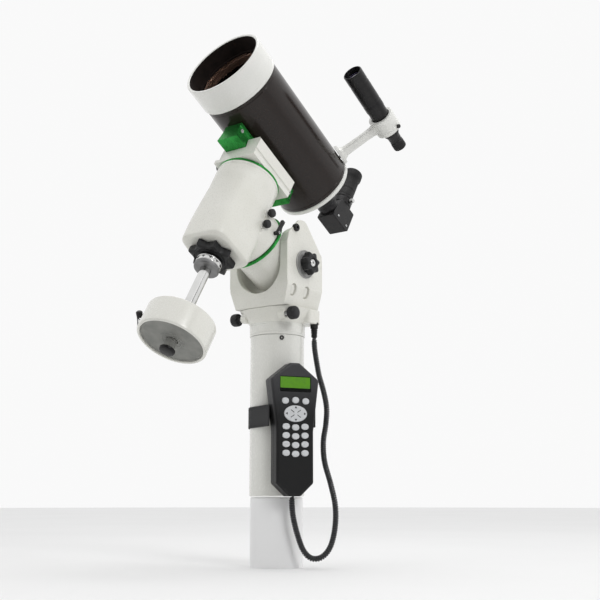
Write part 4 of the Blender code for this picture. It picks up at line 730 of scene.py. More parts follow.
# ======== polar assembly
def build_polar():
    drum = [(19.3, -44), (32, -44), (34, -42), (35, -24), (37, -14), (45, -4), (45, 52),
            (44.2, 53), (45, 54), (45, 64), (43, 66), (19.3, 66), (19.3, 56), (40.5, 56),
            (40.5, 20), (29, 16), (29, -35), (19.3, -35)]
    piece("ra_drum", lathe(drum, 128, closed=True), POLAR, "enamel", "ra_housing", bevel=0.7)
    ring = [(30.3, 66.5), (54.2, 66.5), (55, 67.3), (55, 68.4), (54.7, 68.75), (55, 69.1), (55, 70.2),
            (54.2, 71), (30.3, 71)]
    piece("ra_green_ring", lathe(ring, 160, closed=True), POLAR, "green", "ra_trim_ring", bevel=0.15)
    lever = []
    for z, half, low, high in ((-3.6, 2.6, 56.8, 61.4), (-2.6, 3.5, 56.5, 62.3), (4, 3.6, 56.5, 62.5),
                               (14, 2.9, 56.9, 61.9), (22, 3.5, 56.6, 62.4), (25.2, 3.4, 56.8, 62.2),
                               (26, 2.4, 57.6, 61.4)):
        lever.append([(x, y, z) for x, y in rounded([(low, -half), (high, -half), (high, half),
                                                     (low, half)], 1.2, 3)])
    stand = Matrix.Translation((0, 0, 79.5)) @ Matrix.Rotation(-math.pi / 2, 4, "X")
    stub = moved(lathe([(0, 52.3), (3.4, 52.3), (3.4, 57), (0, 57)], SMALL), sideways(0, 79.5))
    piece("ra_lever_grip", joined(moved(loft(lever), stand), stub), POLAR, "black",
          "ra_clutch_lever", bevel=0.3)
    piece("ra_lever_screw", moved(socket_screw(2.2, 61.8, 63, 1.1, 0.2), sideways(0, 79.5)),
          POLAR, "satin_steel", on="ra_clutch_lever")


# ======== declination head
def head_rows():
    rows = [(-82, 40.5, 40.5, 4), (-79, 44.6, 44.6, 4.3), (-74, 46, 46, 4.6), (-40, 47, 47, 4.4),
            (0, 48, 47, 3.7), (34, 50, 48, 2.8), (54, 52.6, 52, 2.2), (66, 54, 54, 2),
            (70, 54, 54, 2)]
    return smooth_path(rows, 6)


def build_head():
    body = loft([squared(row[1], row[2], row[3], row[0], 120) for row in head_rows()])
    neck = moved(lathe([(0, 30), (52, 30), (52, 62.7), (0, 62.7)], 128), towards((0, 1, 0)))
    bore = lathe([(0, -90), (22.3, -90), (22.3, -72.7), (15.5, -72.7), (15.5, -60), (39, -60),
                  (39, 60), (15.5, 60), (15.5, 80), (0, 80)], 64)
    steps = [("UNION", neck), ("DIFFERENCE", bore)]
    piece("head_casting", carved(body, steps, 1.1, 6), DEC, "cast_enamel", "dec_housing")
    band = [(24, 69), (54, 69), (54, 70.6), (53.3, 71.2), (54, 71.8), (54, 75.4), (53.4, 76), (24, 76)]
    piece("head_band", lathe(band, 160, closed=True), DEC, "enamel", on="dec_housing", bevel=0.2)
    for name, height in (("upper", 21), ("lower", -3)):
        place = sideways(29, height)
        grip = lathe([(0, 49.5), (3.8, 49.5), (3.8, 52.5), (6.4, 52.5), (7.2, 53.2), (7.2, 55), (7.2, 57),
                      (6.7, 58.9), (5.4, 59.5), (0, 59.5)], 72, ripple=(18, 0.8, 53, 57.5))
        piece("thumb_grip_" + name, moved(grip, place), DEC, "black", "thumb_screw_" + name, bevel=0.25)
        seat = lathe([(0, 44), (8.4, 44), (8, 48.9), (0, 48.9)], 56)
        piece("thumb_seat_" + name, moved(seat, place), DEC, "enamel", on="dec_housing", bevel=0.4)


def build_dec_ring():
    low = 76.6
    ring = [(29.8, low), (53.3, low), (54, low + 0.7), (54, low + 1.7), (53.7, low + 2), (54, low + 2.3),
            (54, low + 3.3), (53.3, low + 4), (29.8, low + 4)]
    piece("dec_green_ring", lathe(ring, 160, closed=True), DEC, "green", "dec_trim_ring", bevel=0.15)


def build_clutch():
    low = -97
    sides = 240
    outline = lobes(38.5, 8.4, 8, sides, 0.5)
    hole = circle(13.8, sides)
    hub = circle(25, sides)
    layers = [shrunk(hole, 1, low + 14.5), shrunk(outline, 0.92, low + 14.5),
              shrunk(outline, 0.985, low + 13.2), shrunk(outline, 1, low + 11),
              shrunk(outline, 1, low + 3.4), shrunk(outline, 0.975, low + 1.2),
              shrunk(outline, 0.90, low + 0.2), shrunk(hub, 1.12, low + 0.2), shrunk(hub, 1.06, low + 1.8),
              shrunk(hub, 0.98, low + 1.8), shrunk(hub, 0.94, low), shrunk(hole, 1, low)]
    bm = loft(layers)
    caps = [face for face in bm.faces if len(face.verts) > 4]
    bmesh.ops.delete(bm, geom=caps, context="FACES_ONLY")
    edges = [edge for edge in bm.edges if edge.is_boundary]
    bmesh.ops.bridge_loops(bm, edges=edges)
    piece("clutch_grip", bm, DEC, "black", "dec_clutch_ring", bevel=0.4)


def build_bar():
    top = -79
    bottom = -272
    piece("bar", lathe([(0, bottom), (8.2, bottom), (9, bottom + 0.8), (9, top - 0.8), (8.2, top),
                        (0, top)], 64),
          DEC, "bright_steel", "counterweight_shaft", bevel=0.2)
    high = -97.8
    nut = [(9.3, high), (19.6, high), (21, high - 1.4), (21, high - 3.8), (20.2, high - 4.4),
           (20.2, high - 5), (21, high - 5.6), (21, high - 11), (20, high - 12), (9.3, high - 12)]
    piece("nut_upper", lathe(nut, 128, closed=True), DEC, "bright_steel", "shaft_lock_nut", bevel=0.3)
    foot = [(9.3, high - 12.1), (20.4, high - 12.1), (21, high - 12.8), (21, high - 15), (21, high - 17.4),
            (20, high - 19.2), (18.6, high - 20), (9.3, high - 20)]
    piece("nut_lower", lathe(foot, 180, closed=True, ripple=(60, 0.7, high - 17, high - 12.9)), DEC,
          "dark_steel", on="shaft_lock_nut", bevel=0.25)
    cap = -272.3
    piece("bar_end", lathe([(0, cap - 6), (9.6, cap - 6), (11.8, cap - 4.9), (12.5, cap - 3),
                            (12.5, cap - 0.8), (11.7, cap), (0, cap)], 72), DEC, "black_metal",
          "shaft_end_cap", bevel=0.3)


def build_counterweight():
    low = -260
    high = -214
    face = low + 3.5
    disc = [(9.6, face + 1), (50.6, face + 1), (50.6, low + 1.2), (51.6, low + 0.2), (53.2, low + 0.2),
            (54.8, low + 1.2), (55.5, low + 3.2), (55.5, high - 3.4), (54.6, high - 1.2), (52.4, high),
            (22, high), (21, high - 0.8), (14.5, high - 0.8), (9.6, high - 0.8)]
    piece("weight_disc", lathe(disc, 144, closed=True), DEC, "enamel", "counterweight", bevel=0.35)
    plate = [(9.6, face), (14.6, face), (15, face - 0.5), (18.4, face - 0.5), (18.8, face), (46.8, face),
             (47.4, face - 0.4), (50.4, face - 0.4), (50.4, face + 1.3), (9.6, face + 1.3)]
    piece("weight_face", lathe(plate, 144, closed=True), DEC, "iron_face", on="counterweight", bevel=0.2)
    turn = math.radians(160)
    place = towards((math.cos(turn), -math.sin(turn), 0), (0, 0, -226))
    shank = moved(lathe(threaded(4, 20, 55.4, 1.25), SMALL), place)
    stem = moved(lathe([(0, 56.5), (6.5, 56.5), (6.5, 61), (5.4, 62), (5.4, 67), (6.2, 68.5), (0, 68.5)],
                       48), place)
    piece("weight_knob_stem", joined(shank, stem), DEC, "bright_steel", "counterweight_knob", bevel=0.3)
    across = place @ Matrix.Translation((0, 0, 68.5)) @ towards((1, 0.6, 0))
    grip = lathe([(0, -13.5), (3.6, -13.5), (5, -12.2), (5.2, -10), (4.5, -5), (4.4, 0), (4.5, 5),
                  (5.2, 10), (5, 12.2), (3.6, 13.5), (0, 13.5)], 48)
    piece("weight_knob_grip", moved(grip, across), DEC, "black_metal", on="counterweight_knob")


# ======== saddle and dovetail bar
def build_saddle():
    flank = 22.3
    lip = 18.3
    base = [(-38, 81.2), (49, 81.2), (49, 117), (45, 121.5), (lip + 1, 121.5), (flank, 104),
            (-flank - 3, 104), (-flank - 3, 88.5), (-38, 88.5)]
    notch = moved(lathe([(0, -60), (2.2, -60), (2.2, 60), (0, 60)], SMALL), Matrix.Translation((49, 93, 0)))
    shape = carved(prism(base, -52, 52), [("DIFFERENCE", notch)])
    piece("saddle_block", moved(shape, END_VIEW), DEC, "enamel", "saddle_base", bevel=1, segments=3)
    jaw = [(-38, 88.8), (-flank - 3.5, 88.8), (-flank - 3.5, 104.3), (-flank, 104.3), (-lip - 1, 121.5),
           (-35, 121.5), (-38, 118)]
    piece("saddle_clamp", moved(prism(jaw, -46, 46), END_VIEW), DEC, "enamel", "saddle_jaw", bevel=0.8)
    place = sideways(-30, 94.5, -1)
    out = 39.8
    grip = lathe([(0, out), (5.6, out), (6.8, out + 1), (7, out + 2.6), (7, out + 5), (7, out + 7.6),
                  (6.6, out + 10), (5.2, out + 11), (0, out + 11)], 64, ripple=(14, 0.9, out + 2, out + 8))
    piece("saddle_grip", moved(grip, place), DEC, "black", "saddle_knob", bevel=0.25)
    piece("saddle_thread", moved(lathe(threaded(2.5, 11, out, 0.8, 0.25), SMALL), place), DEC,
          "satin_steel", on="saddle_knob")


def build_dovetail():
    low = 104.3 - SCOPE_HEIGHT
    neck = 121.5 - SCOPE_HEIGHT
    top = -69.3
    outline = [(-21.7, low), (21.7, low), (19.6, low + 9), (18.9, low + 9), (18.5, low + 11),
               (19.1, low + 11), (17.7, neck), (17.7, neck + 5.5), (16.9, neck + 6.3), (16.9, neck + 8),
               (17.7, neck + 8.8), (17.7, top)]
    outline += [(-x, y) for x, y in reversed(outline[2:])]
    piece("green_bar", prism(outline, -84, 78), SCOPE, "green", "dovetail_bar", bevel=0.7, segments=3)
    for z, name in ((-76, "rear"), (70, "front")):
        cap = moved(socket_screw(3.4, 0, 2.2, 1.6, 0.3), towards((1, 0, 0), (17, neck + 2.8, z)))
        piece("green_bar_screw_" + name, cap, SCOPE, "satin_steel", on="dovetail_bar")


# ======== telescope
TUBE = 69
TUBE_REAR = -133
TUBE_FRONT = 105


def build_tube():
    skin = [(TUBE, TUBE_REAR), (TUBE, TUBE_REAR + 5), (TUBE - 0.5, TUBE_REAR + 5.5),
            (TUBE - 0.5, TUBE_REAR + 6.1), (TUBE, TUBE_REAR + 6.6), (TUBE, TUBE_FRONT - 6.6),
            (TUBE - 0.5, TUBE_FRONT - 6.1), (TUBE - 0.5, TUBE_FRONT - 5.5), (TUBE, TUBE_FRONT - 5),
            (TUBE, TUBE_FRONT), (TUBE - 2, TUBE_FRONT), (TUBE - 2, TUBE_REAR)]
    piece("tube_skin", lathe(skin, 192, closed=True), SCOPE, "tube_black", "telescope_tube", bevel=0.15)
    baffle = [(16.8, TUBE_REAR + 1), (18, TUBE_REAR + 1), (14, 60), (12.8, 60)]
    piece("tube_baffle", lathe(baffle, 72, closed=True), SCOPE, "matt_black", on="telescope_tube")
    lining = [(TUBE - 2.2, TUBE_REAR + 18), (TUBE - 2.2, TUBE_FRONT - 2), (TUBE - 2.5, TUBE_FRONT - 2),
              (TUBE - 2.5, TUBE_REAR + 18)]
    piece("tube_lining", lathe(lining, 144, closed=True), SCOPE, "matt_black", on="telescope_tube")
    start = TUBE_FRONT + GAP
    end = start + 50
    cell = [(64.3, start + 12), (61, start + 12), (61, start), (70, start), (71.5, start + 1.5),
            (71.5, start + 5.4), (70.8, start + 6), (71.5, start + 6.6), (71.5, end - 1.6),
            (70.4, end - 0.2), (67.6, end - 0.2), (66.6, end - 1.2)]
    piece("front_cell_shell", lathe(cell + [(65.4, end - 22), (64.3, start + 22)], 192, closed=True), SCOPE,
          "cell_enamel", "telescope_front_cell", bevel=0.35)
    dew = [(66.5, end - 1.3), (65.9, end - 1), (64.2, start + 23), (60.8, start + 21.6),
           (60.8, start + 19.6), (64.2, start + 19.2), (65.3, end - 24)]
    piece("dew_lining", lathe(dew, 192, closed=True), SCOPE, "matt_black", on="telescope_front_cell")
    low = start + 12.3
    lens = [(0, low - 3), (22.4, low - 2.64), (44.8, low - 1.5), (60, low), (64, low), (64, low + 6),
            (44.8, low + 4.5), (22.4, low + 3.4), (0, low + 3)]
    piece("corrector_glass", lathe(lens, 128), SCOPE, "corrector", "telescope_corrector", angle=40)
    spot = [(0, low - 3.9), (17.5, low - 3.4), (17.5, low - 3.1), (0, low - 3.3)]
    piece("secondary_spot", lathe(spot, 72), SCOPE, "mirror", on="telescope_corrector")
    rear = TUBE_REAR - GAP
    plate = [(16.5, rear), (68.4, rear), (70.5, rear - 1.4), (70.5, rear - 6.4), (69.2, rear - 8),
             (62, rear - 8), (61.2, rear - 7.2), (58, rear - 7.2), (57.2, rear - 8), (16.5, rear - 8)]
    piece("rear_cell_plate", lathe(plate, 192, closed=True), SCOPE, "cell_enamel",
          "telescope_rear_cell", bevel=0.3)
    for i in range(3):
        turn = math.radians(90 + 120 * i)
        cap = shifted(socket_screw(3, 0, 1.4, 1.4, 0.3), 38 * math.cos(turn), 38 * math.sin(turn))
        bmesh.ops.transform(cap, matrix=Matrix.Translation((0, 0, rear - 8))
                            @ Matrix.Rotation(math.pi, 4, "X"), verts=cap.verts)
        piece(f"collimation_screw_{i}", cap, SCOPE, "satin_steel", on="telescope_rear_cell")
    back = rear - 8 - GAP
    grip = [(0, back - 24), (6.6, back - 24), (8.6, back - 22.6), (9, back - 20), (9, back - 12),
            (9, back - 6), (8.4, back - 3), (6, back - 1.5), (6, back), (0, back)]
    piece("focus_grip", shifted(lathe(grip, ROUND, ripple=(24, 0.7, back - 21, back - 4)), -34, 22), SCOPE,
          "grip_black", "telescope_focus_knob", bevel=0.25)
    build_diagonal(back)


DIAGONAL_Z = -221


def build_diagonal(back):
    nose = [(0, DIAGONAL_Z + 18), (17, DIAGONAL_Z + 18), (17, DIAGONAL_Z + 26), (19, DIAGONAL_Z + 28),
            (19, DIAGONAL_Z + 38), (18.2, DIAGONAL_Z + 39), (18.2, DIAGONAL_Z + 42), (19, DIAGONAL_Z + 43),
            (19, back - 12), (18, back - 10), (18, back), (0, back)]
    piece("diagonal_nose", lathe(nose, ROUND), SCOPE, "black_metal", on="star_diagonal", bevel=0.4)
    stand = towards((0, 1, 0), (0, 0, DIAGONAL_Z))
    socket = [(0, 18), (17.6, 18), (17.6, 26), (19, 28), (19, 38.5), (18.2, 39.2), (18.2, 41.2),
              (19, 42), (19, 46), (17.8, 47.5), (0, 47.5)]
    piece("diagonal_socket", moved(lathe(socket, ROUND), stand), SCOPE, "black_metal",
          on="star_diagonal", bevel=0.4)
    turn = Matrix(((0, 0, 1, 0), (0, 1, 0, 0), (-1, 0, 0, DIAGONAL_Z), (0, 0, 0, 1)))
    side = rounded([(-23, 19), (-19, 23.5), (23.5, 23.5), (23.5, -19), (19, -23.5), (-27.5, -23.5),
                    (-27.5, -16)], 2, 3)
    layers = [[(x * s, y * s, z) for x, y in side] for s, z in ((0.95, -19), (1, -17.5), (1, 17.5),
                                                                (0.95, 19))]
    piece("diagonal_box", moved(loft(layers), turn), SCOPE, "black_metal", "star_diagonal", bevel=0.6)
    for x in (-1, 1):
        cap = moved(socket_screw(2.2, 18.6, 20, 1, 0.25), turn @ Matrix.Translation((14 * x, -14, 0)))
        piece("diagonal_cover_screw_" + ("a" if x < 0 else "b"), cap, SCOPE, "satin_steel",
              on="star_diagonal")
    grip = moved(lathe([(0, 17), (2, 17), (2, 20), (4.2, 20), (4.4, 22), (4.4, 25), (4, 27), (0, 27)],
                       48, ripple=(16, 0.5, 21, 26)), sideways(36, DIAGONAL_Z))
    piece("diagonal_set_screw", grip, SCOPE, "bright_steel", on="star_diagonal")
    low = 47.8
    barrel = [(0, low), (14.6, low), (16.5, low + 2), (16.5, 62), (15.9, 63), (15.9, 66), (16.5, 67),
              (16.5, 78), (16.5, 88), (16.5, 97), (18.5, 101), (18.5, 113), (16.6, 115), (11.5, 115),
              (9.5, 110), (0, 110)]
    piece("eyepiece_barrel", moved(lathe(barrel, 120, ripple=(40, 0.7, 77, 89)), stand), SCOPE,
          "grip_black", "eyepiece", bevel=0.4)
    piece("eyepiece_lens", moved(lathe([(0, 109.6), (9.4, 109.8), (8, 110.9), (4, 111.7), (0, 112)], 64),
                                 stand),
          SCOPE, "lens", on="eyepiece")


# ======== finder
def build_finder():
    turn = math.radians(39)
    across = Vector((math.cos(turn), math.sin(turn), 0))
    centre = across * 170
    ring_z = -118
    radial = Matrix(((0, across[1], across[0], 0), (0, -across[0], across[1], 0),
                     (1, 0, 0, ring_z), (0, 0, 0, 1)))
    low = TUBE + GAP
    shoe = prism(rounded([(-16, -12.5), (16, -12.5), (16, 12.5), (-16, 12.5)], 2.5, 4), low + 1.2,
                 low + 7, 0.08)
    piece("finder_shoe", moved(shoe, radial), SCOPE, "cell_enamel", on="finder_bracket", bevel=0.5)
    stalk = []
    for z, half_x, half_y in ((low + 5.5, 13, 10.5), (low + 9, 11, 8.6), (low + 14, 8.8, 6.4),
                              (low + 24, 8.2, 5.8), (low + 60, 8, 5.7), (low + 74, 8.6, 6.4),
                              (low + 80, 11, 8), (low + 84, 12.5, 9)):
        stalk.append(squared(half_x, half_y, 4.5, z, SMALL))
    piece("finder_stalk", moved(loft(stalk), radial), SCOPE, "cell_enamel", on="finder_bracket", bevel=0.2)
    hoop = [(17.4, ring_z - 17), (22.3, ring_z - 17), (23.5, ring_z - 15.8), (23.5, ring_z - 9.5),
            (22.7, ring_z - 8.8), (22.7, ring_z + 8.8), (23.5, ring_z + 9.5), (23.5, ring_z + 15.8),
            (22.3, ring_z + 17), (17.4, ring_z + 17)]
    piece("finder_hoop", shifted(lathe(hoop, ROUND, closed=True), centre.x, centre.y), SCOPE, "cell_enamel",
          "finder_bracket", bevel=0.4)
    for i, angle in enumerate((turn - 0.9, turn + 0.9)):
        aim = Vector((math.cos(angle), math.sin(angle), 0))
        place = towards(aim, centre + Vector((0, 0, ring_z - 11)))
        screw = joined(lathe(threaded(1.5, 16.8, 24, 0.7, 0.2), 24),
                       lathe([(0, PAD_Y), (3.2, 23.8), (3.6, 24.2), (3.6, 27.2), (3.2, 27.7), (0, 27.7)],
                             48, ripple=(14, 0.4, 24.2, 27.4)))
        piece(f"finder_screw_{i}", moved(screw, place), SCOPE, "black_metal", on="finder_bracket")
    spring = moved(lathe([(0, 21), (5.2, 21), (5.2, 24), (4.2, 25), (4.2, 30), (3.2, 31), (0, 31)], 48),
                   towards((math.cos(turn + 2.3), math.sin(turn + 2.3), 0),
                           centre + Vector((0, 0, ring_z - 11))))
    piece("finder_spring_cap", spring, SCOPE, "cell_enamel", on="finder_bracket", bevel=0.4)
    clamp = moved(lathe([(0, 12), (2, 12), (2, 15), (4.6, 15), (5, 15.6), (5, 20), (4.4, 20.8), (0, 20.8)],
                        56, ripple=(16, 0.6, 15.4, 20.5)),
                  radial @ towards((-0.4, -1, 0), (-6, 0, low + 4.4)))
    piece("finder_shoe_screw", clamp, SCOPE, "knob_grey", on="finder_bracket")
    tube = [(0, -176), (7.5, -176), (9, -178), (11.5, -178), (11.5, -170), (11.5, -162), (10.8, -161),
            (10.8, -158), (11.5, -157), (11.5, -150), (16.5, -140), (16.5, -96), (16.5, -86), (17.3, -82),
            (17.3, -70), (16.8, -69), (16.8, -66), (17.3, -65), (17.3, -26), (16.8, -25), (16.8, -22),
            (17.3, -21), (17.3, -1), (16.6, 0), (15.2, 0), (14.6, -10), (0, -10)]
    piece("finder_tube", shifted(lathe(tube, ROUND), centre.x, centre.y), SCOPE, "black_metal",
          "finder_scope", bevel=0.25)
    eye = lathe([(9, -178), (11.6, -178), (12, -176), (12, -172), (12, -166.5), (11.6, -165), (11.4, -165),
                 (9.4, -176)], 72, closed=True, ripple=(24, 0.5, -175, -166.8))
    piece("finder_eye_ring", shifted(eye, centre.x, centre.y), SCOPE, "grip_black", on="finder_scope")
    glass = lathe([(0, -10.6), (14.5, -10.6), (14.5, -9.6), (10, -7.8), (5, -6.9), (0, -6.6)], 72)
    piece("finder_lens", shifted(glass, centre.x, centre.y), SCOPE, "lens", on="finder_scope")


# ======== hand controller
DEPTH = 14                # of each half shell
PAD_Y = 23.8              # centre of the direction pad


def shell_outline(inset=0, radius=5):
    half = HANDSET_HALF - inset
    right = [(10 - 0.5 * inset, -half), (32 - inset, 20 - half), (32 - inset, -4), (42 - inset, 78.5),
             (8 - 0.5 * inset, half)]
    return rounded(right + [(-x, y) for x, y in reversed(right)], radius, 6)


def rectangle(half_x, low, high):
    return [(half_x, low), (half_x, high), (-half_x, high), (-half_x, low)]


def build_handset():
    eased = ((0, GAP), (0, DEPTH - 4.2), (0.35, DEPTH - 2.6), (1.2, DEPTH - 1.2), (2.4, DEPTH - 0.4),
             (4.2, DEPTH))
    layers = [[(x, y, z) for x, y in shell_outline(inset)] for inset, z in eased]
    cuts = [("DIFFERENCE", prism(shell_outline(2), -10, DEPTH - 2)),
            ("DIFFERENCE", prism(rounded(rectangle(27, 58.5, 83.5), 1.6), 1, 30)),
            ("DIFFERENCE", loft([squared(20, 13.4, 2, z, 72, (0, PAD_Y)) for z in (1, 30)]))]
    for x, y in KEY_SPOTS:
        cuts.append(("DIFFERENCE", loft([squared(*key_size(y, 0.35), 2.2, z, 40, (x, y))
                                         for z in (1, 30)])))
    piece("shell_front", carved(loft(layers), cuts), HANDSET, "shell", "handset_front_shell", bevel=0.3)
    layers = [[(x, y, -z) for x, y in shell_outline(inset)] for inset, z in eased]
    hollow = prism(shell_outline(2), 2 - DEPTH, 10)
    piece("shell_rear", carved(loft(layers), [("DIFFERENCE", hollow)]), HANDSET, "shell",
          "handset_rear_shell", bevel=0.3)
    piece("shell_seam", prism(shell_outline(0.7), -0.5, 0.5), HANDSET, "matt_black",
          on="handset_rear_shell")
    piece("display_window", prism(rounded(rectangle(26.7, 58.8, 83.2), 1.4), 3, DEPTH - 1),
          HANDSET, "window", "handset_display", bevel=0.3)
    piece("display_panel", prism(rounded(rectangle(25.9, 64.6, 82.5), 0.6), DEPTH - 1.6, DEPTH - 0.8),
          HANDSET, "screen", on="handset_display", bevel=0.1)
    flip = Matrix.Rotation(math.pi, 4, "Y")
    screws = [moved(socket_screw(2.4, 12.9, 14.2, 1, 0.3), Matrix.Translation((x, y, 0)) @ flip)
              for x in (-22, 22) for y in (-70, 62)]
    piece("shell_screws", joined(*screws), HANDSET, "satin_steel", on="handset_rear_shell")


def key_size(y, extra=0):
    return (6 + extra, 5 + extra) if y > 35 else (6.4 + extra, 4.9 + extra)


KEY_SPOTS = [(-17.6, 44), (0, 45.2), (17.6, 44)]
KEY_SPOTS += [(x, y - (1.4 if x == 0 else 0)) for y in (3.4, -10.6, -24.4, -38.2) for x in (-16.2, 0, 16.2)]


def build_keys():
    mat = prism(rectangle(28, -49.5, 53.5), 9.4, 10.6)
    keys = []
    for x, y in KEY_SPOTS:
        half_x, half_y = key_size(y)
        rows = ((0, 10), (0, 14.2), (0.35, 14.9), (1.1, 15.3), (2.6, 15.5))
        keys.append(loft([squared(half_x - inset, half_y - inset, 2.2, z, 40, (x, y))
                          for inset, z in rows]))
    piece("key_caps", joined(mat, *keys), HANDSET, "keys", "handset_keypad", bevel=0.12)
    rocker = loft([squared(19.7 - inset, 13.1 - inset, 2, z, 72, (0, PAD_Y))
                   for inset, z in ((0, 9.4), (0, 14.3), (0.6, 14.9), (1.6, 15.2))])
    piece("pad_rocker", rocker, HANDSET, "keys", "handset_direction_pad", bevel=0.1)
    inks = []
    for quarter in range(4):
        heading = TAU * quarter / 4
        tip = Vector((math.cos(heading) * 15.4, math.sin(heading) * 9.8, 0))
        size = 2.1
        corners = [(size, 0), (-0.6 * size, size), (-0.6 * size, -size)]
        arrow = prism(rounded(corners, 0.3, 2), 15, 15.45)
        inks.append(moved(arrow, Matrix.Translation((tip.x, PAD_Y + tip.y, 0))
                          @ Matrix.Rotation(heading, 4, "Z")))
    for side in (-1, 1):
        heading = side * math.atan2(6, 8.6)
        for way in (0, math.pi):
            bar = prism(rectangle(0.55, 3.4, 10.4), 15, 15.4)
            inks.append(moved(bar, Matrix.Translation((0, PAD_Y, 0))
                              @ Matrix.Rotation(heading - math.pi / 2 + way, 4, "Z")))
    piece("pad_marks", joined(*inks), HANDSET, "black", on="handset_direction_pad")


STRAP_START = math.radians(80)     # from straight out of the keys
STRAP_SWEEP = math.radians(200)
STRAP_THICK = 1.8


def strap_path(offset, count):
    """Points round the pier's back and along the controller's sides, at an offset from both."""
    flat = Vector((KEYS_OUT.x, KEYS_OUT.y))
    side = Vector((-flat.y, flat.x))
    discs = [(Vector((0, 0)), PIER_RADIUS)]
    discs += [(flat * HANDSET_REACH + side * sign * 38, 0.5) for sign in (-1, 1)]
    first = math.atan2(flat.y, flat.x) + STRAP_START
    path = []
    for i in range(count + 1):
        angle = first + STRAP_SWEEP * i / count
        aim = Vector((math.cos(angle), math.sin(angle)))
        centre, radius = max(discs, key=lambda disc: disc[0].dot(aim) + disc[1])
        path.append(centre + aim * (radius + offset))
    return path


def even_path(path, step):
    """A flat path again, with even steps."""
    made = [path[0]]
    for a, b in zip(path, path[1:]):
        count = max(1, round((b - a).length / step))
        made += [a.lerp(b, (k + 1) / count) for k in range(count)]
    return made


def build_strap():
    low = 109.5
    high = 144
    inner = even_path(strap_path(0.6, 90), 2)
    outer = []
    for i, spot in enumerate(inner):
        ahead = inner[min(i + 1, len(inner) - 1)] - inner[max(i - 1, 0)]
        outer.append(spot + Vector((ahead.y, -ahead.x)).normalized() * STRAP_THICK)
    section = ((0, low + 0.6), (0.4, low), (1.4, low), (1.8, low + 0.6), (1.65, low + 3.4), (1.8, low + 6),
               (1.8, high - 6), (1.65, high - 3.4), (1.8, high - 0.6), (1.4, high), (0.4, high),
               (0, high - 0.6))
    loops = []
    for a, b in zip(inner, outer):
        loops.append([(*a.lerp(b, out / STRAP_THICK), z) for out, z in section])
    piece("strap_band", loft(loops), WORLD, "webbing", "handset_strap")
    stitches = []
    for i in range(2, len(inner) - 3, 2):
        for z in (low + 3.4, high - 3.4):
            a = inner[i].lerp(outer[i], 1)
            ahead = (inner[i + 1] - inner[i]).normalized()
            heading = math.atan2(ahead.y, ahead.x)
            stitch = loft([squared(0.28, 0.45, 2, s, 8) for s in (-1.1, 1.1)])
            stitches.append(moved(stitch, Matrix.Translation((a.x, a.y, z))
                                  @ Matrix.Rotation(heading, 4, "Z")
                                  @ Matrix.Rotation(math.pi / 2, 4, "Y")))
    piece("strap_stitches", joined(*stitches), WORLD, "thread", on="handset_strap")


# ======== curly lead
CORD_X = 53
CORD_Y = 33
CORD_RADIUS = 0.0049
WIRE_RADIUS = 0.0017
WIRE_SIDES = 8
COIL_PITCH = 0.0036
CORD_ROUTE = (
    (0.0530, 0.0330, 0.2607), (0.0533, 0.0335, 0.2450), (0.0560, 0.0350, 0.2230),
    (0.0600, 0.0370, 0.1980), (0.0680, 0.0380, 0.1720), (0.0750, 0.0370, 0.1440),
    (0.0755, 0.0340, 0.1160), (0.0740, 0.0290, 0.0880), (0.0790, 0.0250, 0.0560),
    (0.0920, 0.0240, 0.0190), (0.1020, 0.0220, -0.0150), (0.1040, 0.0180, -0.0480),
    (0.1000, 0.0110, -0.0770), (0.0900, 0.0020, -0.0930), (0.0770, -0.0080, -0.0950),
    (0.0670, -0.0160, -0.0830), (0.0610, -0.0230, -0.0600), (0.0575, -0.0290, -0.0350),
    (0.0560, -0.0310, -0.0150), (0.0560, -0.0310, -0.0003),
)


def evenly(points, step):
    """A path again, with points a step apart, and its length."""
    lengths = [(b - a).length for a, b in zip(points, points[1:])]
    total = sum(lengths)
    count = round(total / step)
    made = [points[0]]
    travelled = 0
    for a, b, length in zip(points, points[1:], lengths):
        while len(made) < count and travelled + length >= len(made) * total / count:
            made.append(a.lerp(b, (len(made) * total / count - travelled) / length))
        travelled += length
    return made + [points[-1]], total


def carried_frames(points):
    """Two normals at each point of a path, carried along it without twist."""
    normal = Vector((0, 1, 0))
    made = []
    for i, spot in enumerate(points):
        ahead = (points[min(i + 1, len(points) - 1)] - points[max(i - 1, 0)]).normalized()
        normal = (normal - ahead * normal.dot(ahead)).normalized()
        made.append((normal.copy(), ahead.cross(normal)))
    return made


def build_cord():
    steps = 14
    line, length = evenly(smooth_path(CORD_ROUTE, 24), COIL_PITCH / steps)
    frames = carried_frames(line)
    tail = 0.006
    helix = []
    for i, (spot, (first, second)) in enumerate(zip(line, frames)):
        along = length * i / (len(line) - 1)
        near_end = min(1, 0.5 + 0.5 * min(along, length - along) / tail)
        reach = (CORD_RADIUS - WIRE_RADIUS) * near_end
        angle = TAU * along / COIL_PITCH
        helix.append(spot + reach * (math.cos(angle) * first + math.sin(angle) * second))
    wire = carried_frames(helix)
    loops = []
    for spot, (first, second) in zip(helix, wire):
        ring = [spot + WIRE_RADIUS * (math.cos(TAU * k / WIRE_SIDES) * first
                                      + math.sin(TAU * k / WIRE_SIDES) * second)
                for k in range(WIRE_SIDES)]
        loops.append([point / MM for point in ring])
    cord = piece("curly_lead", loft(loops), WORLD, "cord", "handset_cord", angle=80)
    boot = [(0, 261), (3.2, 261), (4.9, 263)]
    for i in range(4):
        low = 264.4 + 3 * i
        boot += [(5 + 0.2 * i, low), (5.1 + 0.2 * i, low + 1.6), (4.2 + 0.2 * i, low + 1.8),
                 (4.2 + 0.2 * i, low + 2.8)]
    boot += [(6.2, 277), (6.4, 277.6), (6.4, 287), (0, 287)]
    relief = piece("lead_boot", shifted(lathe(boot, 56), CORD_X, CORD_Y), WORLD, "grip_black",
                   "cord_strain_relief", bevel=0.2)


